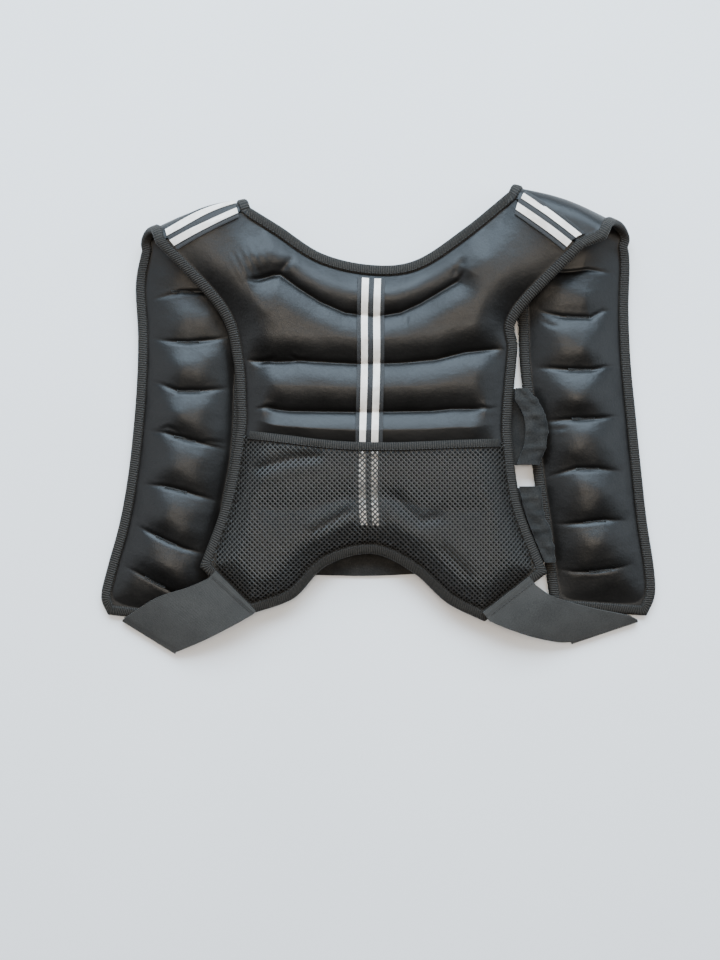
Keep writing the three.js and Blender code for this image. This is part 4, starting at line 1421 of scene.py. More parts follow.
@dataclass
class Edge:
    """A bound edge: points on it, the points where its flange ends, and the upward normals there.

    The width is the tape's, and half is half the thickness that it folds round.
    """

    outer: Array
    inner: Array
    normals: Array
    width: float = SIZES.binding_width
    half: float = SIZES.half_edge

    def __post_init__(self) -> None:
        """Reads the edge again at even steps of its length."""
        self.outer, self.inner, self.normals = spaced(self.outer, 1.5, self.inner, self.normals)
        self.normals = unit(self.normals)

    def place(self, reach: Array, lift: Array) -> Array:
        """Points beside the edge.

        Args:
            reach: distances outside the edge, below 0 inside.
            lift: heights over the middle surface.

        Returns:
            The points, as places along the edge by distances by 3.
        """
        share = (-np.asarray(reach) / SIZES.flange)[None, :, None]
        flat = self.outer[:, None] + (self.inner - self.outer)[:, None] * share
        return flat + self.normals[:, None] * np.asarray(lift)[None, :, None]

    def tape(self, name: str) -> Piece:
        """The folded tape: a U round the edge with a half-round back and gently bowed flanks.

        Args:
            name: the piece's name.

        Returns:
            The piece.
        """
        slot = self.half + SIZES.binding_clearance
        skin = slot + SIZES.binding_wall
        start = -(self.width - SIZES.binding_clearance - SIZES.binding_wall)
        stop = SIZES.binding_clearance + SIZES.binding_wall
        bow = np.linspace(0, 1, 6)
        flank = start + (stop - skin - start) * bow
        height = skin - 0.55 * (1 - smooth_step(bow / 0.2)) + 0.35 * np.sin(math.pi * bow)
        angle = np.linspace(math.pi / 2, -math.pi / 2, 8)[1:-1]
        reach = np.concatenate([flank, stop - skin + skin * np.cos(angle), flank[::-1]])
        lift = np.concatenate([height, skin * np.sin(angle), -height[::-1]])
        inside = SIZES.binding_clearance - 0.3
        reach = np.concatenate([reach, [start, inside, inside, start]])
        lift = np.concatenate([lift, [-slot, -slot, slot, slot]])
        return ring_tube(name, self.place(reach, lift))

    def stitches(self, inset: float = 1.5) -> list[Array]:
        """Lines just inside the tape's inner rim, one over each face.

        Args:
            inset: distance from the tape's rim.

        Returns:
            The upper line and the lower one.
        """
        start = -(self.width - SIZES.binding_clearance - SIZES.binding_wall) + inset
        skin = self.half + SIZES.binding_clearance + SIZES.binding_wall + 0.2
        both = self.place(np.array([start, start]), np.array([skin, -skin]))
        return [both[:, 0], both[:, 1]]


def thread_beads(name: str, lines: list[Array], length: float = 2.5, gap: float = 0.9) -> Piece:
    """Stitches along lines: small spindles, each a stretched ball of five sides.

    Args:
        name: the piece's name.
        lines: bent lines to sew along.
        length: length of a stitch.
        gap: space between stitches.

    Returns:
        The piece.
    """
    sides, radius = THREAD_SIDES, THREAD_RADIUS
    rings = ((-0.42, 0.62), (0.0, 1.0), (0.42, 0.62))
    angle = np.arange(sides) * 2 * math.pi / sides
    body = [[r * length, w * radius * math.cos(a), w * radius * math.sin(a)] for r, w in rings for a in angle]
    template = np.array([[-length / 2, 0, 0], *body, [length / 2, 0, 0]])
    faces = []
    for k in range(sides):
        n = (k + 1) % sides
        faces.append([0, 1 + n, 1 + k])
        for ring in range(2):
            a = 1 + ring * sides
            faces.append([a + k, a + n, a + sides + n, a + sides + k])
        faces.append([1 + 2 * sides + k, 1 + 2 * sides + n, 1 + 3 * sides])
    middles, ways = [], []
    for line in lines:
        lengths = lengths_along(line)
        want = np.arange(gap, lengths[-1] - gap, length + gap)
        middles.append(read_at(line, lengths, want))
        ways.append(unit(read_at(line, lengths, want + 1) - middles[-1]))
    middle, way = np.concatenate(middles), np.concatenate(ways)
    side = unit(np.cross(way, UP + 0 * way))
    top = np.cross(side, way)
    points = (
        middle[:, None]
        + way[:, None] * template[None, :, :1]
        + side[:, None] * template[None, :, 1:2]
        + top[:, None] * template[None, :, 2:]
    )
    count = len(middle)
    table = []
    for face in faces:
        table += (np.arange(count)[:, None] * len(template) + np.array(face)).tolist()
    return Piece(name, points.reshape(-1, 3), table)


def thread_tube(line: Array) -> Piece:
    """A thread along a bent line: a circle carried along it.

    Args:
        line: points of the thread's middle.

    Returns:
        The piece.
    """
    way = unit(np.gradient(line, axis=0))
    side = unit(np.cross(way, UP + 0 * way))
    top = np.cross(side, way)
    angle = np.arange(THREAD_SIDES) * 2 * math.pi / THREAD_SIDES
    ring = side[:, None] * np.cos(angle)[None, :, None] + top[:, None] * np.sin(angle)[None, :, None]
    return ring_tube("thread", line[:, None] + THREAD_RADIUS * ring)


# Sub-assemblies


BACK_MARKS = (
    Crease(UPPER_CHANNEL, 0.9, 1.8, 0.1, 0.08),
    Crease(MIDDLE_CHANNEL, 0.9, 1.8, 0.1, 0.06),
    Crease(LOWER_CHANNEL, 0.9, 1.8, 0.1, 0.06),
    Crease(((-124, 127), (-110, 127), (-99, 131), (-92, 136)), 0.9, 1.5, 0.35, 0.3),
    Crease(((-78, 152), (-83, 144), (-91, 134)), 1.5, 2.6, 0.5, 0.35),
    Crease(((-102, 112), (-98, 96), (-95, 78)), -0.7, 5.5, 0.0, 0.4),
    Crease(((-118, 106), (-106, 98), (-96, 100)), -0.4, 5.0, 0.0, 0.4),
    Crease(((25, 131), (25, 120), (26, 111)), 0.6, 1.1, 0.2, 0.3),
    Crease(((27, 95), (27, 89), (26, 82)), 0.5, 1.0, 0.2, 0.3),
    Crease(((-128, 54), (-110, 50), (-92, 56)), 1.0, 1.7, 0.35, 0.3),
    Crease(((-84, 58), (-74, 53), (-62, 53)), 0.6, 1.3, 0.25, 0.3),
    Crease(((92, 10), (104, 7), (116, 9)), 0.8, 1.6, 0.3, 0.3),
    Crease(((-118, 6), (-104, 9), (-92, 8)), 0.8, 1.6, 0.3, 0.3),
    Crease(((68, 128), (76, 140), (82, 150)), 1.6, 3.6, 0.3, 0.35),
    Dent(-128, 84, 12, 24, 2.6, 12),
    Dent(-114, 30, 9, 20, 0.9, 0),
    Dent(120, 86, 12, 22, 1.4, -14),
    Dent(-60, 120, 18, 9, -0.7, -30),
    Ripples(-119, 143, 15, 17, 6.8, 0.2, -63),
)

FRONT_MARKS = {
    Side.LEFT: (
        Crease(((-209, -12), (-196, -10), (-184, -15)), 0.6, 1.5, 0.3, 0.35),
        Crease(((-168, -22), (-150, -24), (-136, -25)), 0.7, 1.4, 0.3, 0.35),
        Crease(((-150, -36), (-142, -40), (-134, -43)), 0.6, 1.4, 0.3, 0.35),
        Dent(-222, -150, 10, 14, 1.0, 20),
    ),
    Side.RIGHT: (
        Crease(((152, 92), (163, 86), (172, 84)), 0.6, 1.6, 0.3, 0.35),
        Crease(((158, -12), (170, -12), (180, -10)), 0.5, 1.5, 0.3, 0.35),
        Dent(178, 20, 16, 12, -0.8, 0),
    ),
}

# Bar tacks: x, y on the plan and the turn of the bar in degrees
TACKS = {
    Side.LEFT: (
        *((-184, 118, -2), (-178, 70, 0), (-178, 24, 0), (-181, -21, -12)),
        *((-190, -69, -14), (-199, -117, -25), (-210, -156, -27)),
    ),
    Side.RIGHT: (
        *((189, 94, -3), (190, 44, -2), (193, -2, 1)),
        *((197, -49, 3), (204, -99, 3), (210, -145, 4)),
    ),
}


@dataclass
class BackPanel:
    """The padded back panel, its bindings, its centre tape, and the lines sewn through it."""

    finishes: Finishes
    surface: BackSurface
    columns: int = 240

    def top_at(self, s: Array, v: Array) -> Array:
        """Points of the padded outer face, with its marks.

        Args:
            s: places across.
            v: places along.

        Returns:
            The points.
        """
        surface = self.surface
        points = surface.middle(s, v).reshape(-1, 3)
        flat_s, flat_v = (np.broadcast_to(a, np.broadcast(s, v).shape).ravel() for a in (s, v))
        distance = surface.edge_distance(points)
        height = surface.padding(flat_s, flat_v, points, distance)
        settle = swell(distance, SIZES.rounding)
        for mark in BACK_MARKS:
            height = height + mark.height(points[:, :2]) * settle
        height = height + slow_waves(points[:, :2], 3, 0.22, 46) * settle
        return (points + UP * height[:, None]).reshape(np.broadcast(s, v).shape + (3,))

    def build(self) -> None:
        """The panel: outer face with its ribs and marks, plain inner face."""
        surface, z = self.surface, SIZES
        s = np.linspace(0, 1, self.columns + 1)
        v = np.concatenate([np.linspace(0, 0.36, 65)[:-1], np.linspace(0.36, 1, 237)])
        grid_s, grid_v = np.meshgrid(s, v)
        upper = self.top_at(grid_s, grid_v)
        middle = surface.middle(grid_s, grid_v)
        flat = middle.reshape(-1, 3)
        full = blend(z.back_underside, z.shoulder_thickness / 2, surface.shoulder_share(grid_s, grid_v))
        padded = swell(surface.edge_distance(flat), z.rounding).reshape(grid_s.shape)
        below = blend(z.half_edge, full, padded)
        lower = middle - UP * below[..., None]
        shift = np.zeros_like(middle[-1])
        strap = (s < 0.2) | (s > 0.8)
        shift[strap] = unit((middle[-2] - middle[-1]) * [1, 1, 0])[strap] * z.seam_gap / 2
        upper[-1] += shift
        lower[-1] += shift
        made = shell("back_padding", upper, lower, step=4).place(self.finishes.neoprene, ("back_panel",))

    def round_edge(self) -> Edge:
        """The bound edge down the left side, round the bottom and up the right side."""
        surface = self.surface
        t = np.linspace(0, 1, 400)
        zero = np.zeros_like(t)

        def bottom_inner(s: Array) -> Array:
            """Places along where the flange of the bottom edge ends."""
            return place_away(lambda a: surface.middle(s, a), surface.edge_bottom, SIZES.flange, s, 0.04)

        low_v = bottom_inner(np.array([0.06]))

        def side_inner(v: Array, right: bool) -> Array:
            """Places across where the flange of a side edge ends."""
            edge = surface.edge_right if right else surface.edge_left
            return flange_places(surface.middle, edge, v, right, 0.03)

        def side_lines(v: Array, right: bool) -> tuple[Array, Array]:
            """A side's edge, and the line where its flange ends."""
            held = np.maximum(v, low_v)
            return surface.middle(zero + right, v), surface.middle(side_inner(held, right), held)

        held = np.clip(t, side_inner(low_v, False), side_inner(low_v, True))
        bottom = surface.middle(t, zero), surface.middle(held, bottom_inner(held))
        outer, inner = map(np.concatenate, zip(side_lines(t[::-1], False), bottom, side_lines(t, True)))
        return Edge(outer, inner, np.tile(UP, (len(outer), 1)))

    def neck_edge(self) -> Edge:
        """The bound edge of the neck, with its tape turned in along the shoulder seams."""
        surface = self.surface
        s = np.linspace(0.2, 0.8, 400)
        top = np.ones_like(s)
        down = place_away(lambda a: surface.middle(s, 1 - a), surface.edge_top, SIZES.flange, s, 0.04)
        outer, inner = surface.middle(s, top), surface.middle(s, 1 - down)
        fan = np.linspace(0, 1, 7)[:-1]
        ends = []
        for corner, beside, arm in ((0, 1, 0.17), (-1, -2, 0.83)):
            along = surface.middle(np.array([arm]), np.array([1.0]))[0] - outer[corner]
            seam = outer[corner] + unit(along) * SIZES.flange
            turn = seam + (inner[corner] - seam) * fan[:, None]
            slide = unit(outer[beside] - outer[corner])
            start = outer[corner] + slide * (fan * 0.5)[:, None] - slide * 0.5
            ends.append((start, turn))
        outer = np.concatenate([ends[0][0], outer, ends[1][0][::-1]])
        inner = np.concatenate([ends[0][1], inner, ends[1][1][::-1]])
        return Edge(outer, inner, np.tile(UP, (len(outer), 1)))

    def tape(self) -> None:
        """The striped tape down the middle, on the outer face."""
        v = np.linspace(0.1, 0.957, 420)
        middle = self.surface.middle(np.full_like(v, 0.5), v)
        wide = self.surface.middle(np.full_like(v, 0.52), v) - self.surface.middle(np.full_like(v, 0.48), v)
        share = 0.04 / np.linalg.norm(wide, axis=1)

        def face_at(offsets: Array) -> tuple[Array, Array]:
            """Points of the outer face and upward normals at offsets across the tape."""
            points = self.top_at(0.5 + offsets[None, :] * share[:, None], v[:, None])
            return points, np.broadcast_to(UP, points.shape)

        lay_tape(self.finishes, "back", face_at, lengths_along(middle), SIZES.clearance)


def lay_tape(finishes: Finishes, name: str, face_at: FaceAt, along: Array, lift: float) -> None:
    """Lays a striped tape on a surface.

    Args:
        finishes: the finishes.
        name: start of the names of the pieces and of their solids.
        face_at: gives the grid of the surface's points and its normals at offsets across the tape.
        along: lengths along the tape at the grid's rows.
        lift: height of the tape's underside over the surface.
    """
    z = SIZES
    half = z.tape_width / 2
    offsets = np.linspace(-half, half, 27)
    grid, normal = face_at(offsets)
    edge = 0.25 * np.exp(-(((np.abs(offsets) - half + 1.2) / 0.9) ** 2))
    top = grid + normal * (lift + z.tape_thickness + edge)[None, :, None]
    tape = shell(f"{name}_woven_tape", top, grid + normal * lift, weave_lengths(along, offsets))
    tape.place(finishes.woven, (f"{name}_tape",), crisp=CRISP)
    inner = z.stripe_space / 2
    for label, start in (("first", -inner - z.stripe_width), ("second", inner)):
        spots = start + np.linspace(0, z.stripe_width, 7)
        base, normal = face_at(spots)
        low = base + normal * (lift + z.tape_thickness + z.clearance)
        high = low + normal * z.stripe_thickness
        strip = shell(f"{name}_pale_stripe_{label}", high, low, weave_lengths(along, spots))
        strip.place(finishes.stripe, (f"{name}_stripe_{label}",), crisp=CRISP)


POCKET_FOLDS = (
    Crease(((-122, -52), (-100, -45), (-82, -40), (-46, -36)), 3.2, 4.0, 1.6),
    Crease(((-66, -111), (-49, -101), (-20, -84)), 1.8, 3.0, 1.6),
    Crease(((8, -66), (24, -84), (39, -97), (67, -92)), 2.6, 5.0, 1.2),
    Crease(((56, -118), (70, -134), (88, -154)), 2.4, 5.0, 1.0),
    Dent(-70, -70, 40, 26, -1.6, 15),
    Dent(80, -70, 34, 22, -1.4, -20),
    Dent(-12, -96, 26, 40, 1.8, 0),
)


@dataclass
class NetPocket:
    """The net pocket over the lower back, and the folded tape round its mouth.

    The pitch is a lattice square's diagonal, the hole a share of the square, and the ridge the height of
    a strand's crown. The flat size and area in metres are of the net before it was sewn on; they are not
    used.
    """

    finishes: Finishes
    surface: BackSurface
    pitch: float = 4.75
    hole: float = 0.6
    ridge: float = 0.8
    squares: int = 110
    mouth: float = 0.38
    flat_size: Pair = (0.27, 0.17)
    flat_area: float = 0.036

    def edge_distance(self, points: Array) -> Array:
        """Distance of points to the nearest edge that the pocket is sewn to."""
        edges = (self.surface.edge_left, self.surface.edge_right, self.surface.edge_bottom)
        return np.min([distance_to_line(points, e)[0] for e in edges], axis=0)

    def lift(self, points: Array) -> Array:
        """Height over the middle surface: a quarter sine from the binding up to the full lift, with folds.

        Args:
            points: points of the back's middle surface, one per row.

        Returns:
            One height per point.
        """
        z = SIZES
        edge = self.edge_distance(points)
        rise = np.sin(math.pi / 2 * np.clip((edge - z.flange) / z.mesh_slope, 0, 1))
        low = z.half_edge + z.mesh_thickness / 2 + 3 * z.binding_clearance + z.binding_wall
        height = blend(low, z.mesh_lift, rise)
        padding = blend(z.half_edge, z.back_pad, swell(edge, z.rounding))
        height = np.maximum(height - 2.4 * (1 - smooth_step((edge - z.rounding_start) / 4)), padding + 1.1)
        for fold in POCKET_FOLDS:
            height = height + fold.height(points[:, :2]) * rise
        return height

    def lattice(self) -> tuple[Array, Array]:
        """The lattice on the plan, turned by 45 degrees and cut to the pocket.

        Returns:
            Places of the lattice points, and the four point numbers of each square that lies on the pocket.
        """
        steps = np.arange(-self.squares, self.squares + 1)
        a, b = np.meshgrid(steps, steps, indexing="ij")
        middle_x, middle_y = -12, -110
        x = (a + b) * self.pitch / 2 + middle_x
        y = (a - b) * self.pitch / 2 + middle_y
        inside = (x > -175) & (x < 165) & (y > -200) & (y < -15)
        a, b = np.nonzero(inside[:-1, :-1] & inside[1:, :-1] & inside[:-1, 1:] & inside[1:, 1:])
        first, size = a * len(steps) + b, len(steps)
        corner = np.stack([first, first + size, first + size + 1, first + 1], 1)
        flat = np.stack([x.ravel(), y.ravel()], 1)
        centre = flat[corner].mean(1)
        s, v = self.surface.plan_to_panel(centre)
        found = self.surface.middle(s, v)
        miss = np.linalg.norm(found[:, :2] - centre, axis=1)
        keep = (miss < 0.5) & (s > 0.004) & (s < 0.996) & (v > 0.004) & (v < self.mouth - 0.008)
        keep &= self.edge_distance(found) > 8.0
        return flat, corner[keep]

    def build(self) -> None:
        """The net: strands at 45 degrees, each with a ridge above and below, then the hem.

        Each square of the lattice has a square hole, and the quads between them rise to the lattice lines.
        """
        flat, corner = self.lattice()
        centre = flat[corner].mean(1)
        used, numbered = np.unique(corner, return_inverse=True)
        numbered = numbered.reshape(corner.shape)
        rims = centre[:, None] + (flat[corner] - centre[:, None]) * self.hole
        plan = np.concatenate([flat[used], rims.reshape(-1, 2)])
        middle = self.surface.middle(*self.surface.plan_to_panel(plan))
        z = middle[:, 2] + self.lift(middle)
        base = np.concatenate([plan, z[:, None]], 1)
        n = len(used)
        points = np.concatenate([base[:n] + UP * self.ridge, base[:n] - UP * self.ridge, base[n:]])
        rim = 2 * n + np.arange(len(corner) * 4).reshape(-1, 4)
        faces, sides = [], []
        for k, m in ((0, 1), (1, 2), (2, 3), (3, 0)):
            faces += np.stack([numbered[:, k], numbered[:, m], rim[:, m], rim[:, k]], 1).tolist()
            faces += np.stack([n + numbered[:, k], rim[:, k], rim[:, m], n + numbered[:, m]], 1).tolist()
            sides.append(np.stack([numbered[:, k], numbered[:, m]], 1))
        sides = np.concatenate(sides)
        _, first, number = np.unique(np.sort(sides, 1), axis=0, return_index=True, return_counts=True)
        border = sides[first[number == 1]]
        faces += np.stack([border[:, 1], border[:, 0], n + border[:, 0], n + border[:, 1]], 1).tolist()
        net = Piece("pocket_net", points, faces).place(self.finishes.net, ("mesh_pocket",))
        hem = self.hem()
        hem_tape = hem.tape("pocket_hem_tape").place(self.finishes.ribbed, ("pocket_hem",))
        thread = thread_beads("pocket_hem_stitches", hem.stitches(1.3)[:1]).place(self.finishes.thread)

    def hem(self) -> Edge:
        """The folded tape across the pocket's mouth."""
        s = np.linspace(0.045, 0.955, 300)
        outer = self.surface.middle(s, np.full_like(s, self.mouth))
        down = place_away(lambda a: self.surface.middle(s, self.mouth - a), outer, SIZES.flange, s, 0.04)
        inner = self.surface.middle(s, self.mouth - down)
        outer = outer + UP * self.lift(outer)[:, None]
        inner = inner + UP * self.lift(inner)[:, None]
        up = np.tile(UP, (len(s), 1))
        return Edge(outer, inner, up, SIZES.hem_width, SIZES.mesh_thickness / 2)


@dataclass
class FrontPanel:
    """A padded front panel with its binding, its bar tacks and the striped tape over its shoulder seam."""

    finishes: Finishes
    side: Side
    back: BackPanel
    columns: int = 88
    turned_height: float = 30.0
    surface: FrontSurface = field(init=False)
    inside: Array = field(init=False)

    def __post_init__(self) -> None:
        """Sets the panel's middle surface."""
        self.surface = FrontSurface(self.side)

    @property
    def sign(self) -> float:
        """Turns the grid's normals so that they leave the outer face."""
        return 1.0 if self.side is Side.LEFT else -1.0

    def normals(self, s: Array, v: Array) -> Array:
        """Normals of the outer face: up at the seam, round the turn, and down below it.

        Args:
            s: places across.
            v: places along.

        Returns:
            The normals.
        """
        shoulder = SHOULDERS[self.side]
        tiny = 0.004
        low = np.clip(v, -1, -tiny)
        across = self.surface.middle(s + tiny, low) - self.surface.middle(s - tiny, low)
        along = self.surface.middle(s, low + tiny) - self.surface.middle(s, low - tiny)
        found = unit(np.cross(across, along)) * self.sign
        travel = (1 + np.minimum(v, 0)) * shoulder.turned(s)
        early = (1 - smooth_step(travel / 6))[..., None]
        late = smooth_step((v + 0.3) / 0.3)[..., None]
        found = unit(found * (1 - early) + UP * early)
        return unit(found * (1 - late) - UP * late)

    def faces_at(self, s: Array, v: Array) -> tuple[Array, Array]:
        """Both faces of the panel.

        Args:
            s: places across.
            v: places along.

        Returns:
            Points of the outer and of the inner face.
        """
        z = SIZES
        shape = np.broadcast(s, v).shape
        s, v = (np.broadcast_to(a, shape) for a in (s, v))
        middle = self.surface.middle(s, v)
        flat = middle.reshape(-1, 3)
        padded = swell(nearest_edge(flat, self.surface.edges), z.front_rounding)
        flat_s, flat_v = s.ravel(), v.ravel()
        full = blend(z.shoulder_thickness / 2, z.front_underside, smooth_step(flat_v))
        outer = blend(z.half_edge, full, padded)
        inner = self.surface.padding(flat_s, flat_v, flat, padded)
        lower = smooth_step(flat_v)
        sewn = tuple(Crease(line, 0.9, 1.5, 0.2, 0.3) for line in TACKED_LINES[self.side])
        for mark in (*sewn, *FRONT_MARKS[self.side]):
            inner = inner + mark.height(flat[:, :2]) * padded * lower
        inner = inner + slow_waves(flat[:, :2], 5, 0.3, 30) * padded * lower
        normals = self.normals(s, v).reshape(-1, 3)
        outside = (flat + normals * outer[:, None]).reshape(shape + (3,))
        inside = (flat - normals * inner[:, None]).reshape(shape + (3,))
        return outside, inside

    def build(self) -> None:
        """The panel from the seam, round the turn, down to its lower end."""
        shoulder = SHOULDERS[self.side]
        s = np.linspace(0, 1, self.columns + 1)
        v = self.surface.places(48, 361)
        outside, inside = self.faces_at(s[None, :], v[:, None])
        away = shoulder.point(s, np.full_like(s, 1.0)) - shoulder.point(s, np.zeros_like(s))
        shift = unit(away) * SIZES.seam_gap / 2
        outside[0] += shift
        inside[0] += shift
        self.inside = inside
        name = self.side.value
        panel = shell(f"front_padding_{name}", inside, outside, step=2)
        made = panel.place(self.finishes.neoprene, (f"front_panel_{name}",))

    def edge(self) -> Edge:
        """The bound edge: down the arm side, round the lower end, and up the neck side."""
        surface = self.surface
        rows = surface.rows
        v = surface.places(79, 500)

        def hem_place(s: Array) -> Array:
            """Places along where the flange of the lower end ends."""
            edge = surface.edges[2]
            return rows - place_away(lambda a: surface.middle(s, rows - a), edge, SIZES.flange, s, 0.5)

        held = np.minimum(v, hem_place(np.array([0.5])))
        arm_s = flange_places(surface.middle, surface.edges[0], held, False, 0.1)
        neck_s = flange_places(surface.middle, surface.edges[1], held, True, 0.1)
        across = np.linspace(0, 1, 160)
        kept = np.clip(across, arm_s[-1], neck_s[-1])
        hem_v = hem_place(kept)
        places = [
            (np.zeros_like(v), v, arm_s, held),
            (across, np.full_like(across, rows), kept, hem_v),
            (np.ones_like(v), v, neck_s, held),
        ]
        outer = [surface.middle(s, w) for s, w, _, _ in places]
        inner = [surface.middle(s, w) for _, _, s, w in places]
        normals = [unit(self.normals(s, w) + self.normals(t, u)) for s, w, t, u in places]
        for group in (outer, inner, normals):
            group[2] = group[2][::-1]
        return Edge(*map(np.concatenate, (outer, inner, normals)))

    def shoulder_tape(self) -> None:
        """The striped tape that covers the shoulder seam: back face before it, front face after it."""
        shoulder = SHOULDERS[self.side]
        back = self.back.surface
        seam = shoulder.point(np.array([0.0, 1.0]), np.zeros(2))
        length = np.linalg.norm(seam[1, :2] - seam[0, :2])
        margin = SIZES.flange / length
        s = np.linspace(margin, 1 - margin, 80)
        lean = shoulder.tape_lean * np.linspace(0, 1, len(s))[:, None]
        radius = shoulder.radius(s)[:, None]
        lead = shoulder.lead(s)[:, None]
        outer = radius + SIZES.shoulder_thickness / 2
        across = s * 0.2 if self.side is Side.LEFT else 1 - s * 0.2

        down = place_away(lambda a: back.middle(across, 1 - a), back.edge_top, 1.0, s, 0.004)

        def face_at(offsets: Array) -> tuple[Array, Array]:
            """Surface points and normals across the seam.

            Args:
                offsets: distances from the seam, on the back below 0 and on the front above it.

            Returns:
                The grid of points, and the normals there.
            """
            past = offsets[None, :] + lean
            reach = np.clip(-past, 0, None) * down[:, None]
            on_back = self.back.top_at(np.broadcast_to(across[:, None], reach.shape), 1 - reach)
            travel = np.clip(past, 0, None)
            travel = np.minimum(travel, lead) + np.maximum(travel - lead, 0) * radius / outer
            v = -1 + travel / shoulder.turned(s)[:, None]
            grid_s = np.broadcast_to(s[:, None], v.shape)
            on_front, _ = self.faces_at(grid_s, v)
            front = self.normals(grid_s, v)
            chosen = (past > 0)[..., None]
            return np.where(chosen, on_front, on_back), np.where(chosen, front, UP + 0 * front)

        along = np.linalg.norm(seam[1] - seam[0]) * s
        name = f"shoulder_{self.side.value}"
        lay_tape(self.finishes, name, face_at, along, SIZES.tape_lift)

    def tacks(self) -> None:
        """Bar tacks: zigzag threads over two laid threads, on the inner face."""
        surface = self.inside.reshape(-1, 3)
        surface = surface[surface[:, 2] < self.turned_height]
        half_length, half_width, laid_off, turns = 10.5, 1.5, 0.7, 47
        along = np.linspace(-half_length, half_length, turns)
        swing = np.where(np.arange(turns) % 2 == 0, half_width, -half_width)
        laid = np.full(turns, laid_off)
        threads = []
        for x, y, turn in TACKS[self.side]:
            way = np.array([math.cos(math.radians(turn)), math.sin(math.radians(turn))])
            off = np.array([-way[1], way[0]])
            middle = np.array([x, y]) + along[:, None] * way
            gap = np.linalg.norm(surface[None, :, :2] - middle[:, None], axis=2)
            height = surface[gap.argmin(1), 2]
            height = np.convolve(np.pad(height, 4, mode="edge"), np.ones(9) / 9, mode="valid")
            for amount, lift in ((swing, 0.55), (laid, 0.2), (-laid, 0.2)):
                plan = middle + amount[:, None] * off
                threads.append(thread_tube(np.concatenate([plan, (height + lift)[:, None]], 1)))
        join(f"bar_tacks_{self.side.value}", threads).place(self.finishes.thread)


@dataclass(frozen=True)
class StrapRow:
    """One line across a side strap: its two ends as shares of width and length, height as a share."""

    upper: Pair
    lower: Pair
    z: float


SIDE_STRAPS = {
    Side.LEFT: (
        StrapRow((-0.305, -0.349), (-0.225, -0.427), 0.6),
        StrapRow((-0.343, -0.369), (-0.262, -0.452), 0.57),
        StrapRow((-0.4, -0.392), (-0.309, -0.481), 0.45),
        StrapRow((-0.45, -0.43), (-0.35, -0.503), 0.27),
        StrapRow((-0.462, -0.44), (-0.366, -0.511), 0.17),
    ),
    Side.RIGHT: (
        StrapRow((0.284, -0.363), (0.201, -0.441), 0.6),
        StrapRow((0.318, -0.389), (0.235, -0.458), 0.57),
        StrapRow((0.385, -0.413), (0.28, -0.476), 0.45),
        StrapRow((0.45, -0.43), (0.325, -0.488), 0.27),
        StrapRow((0.472, -0.441), (0.352, -0.489), 0.17),
    ),
}


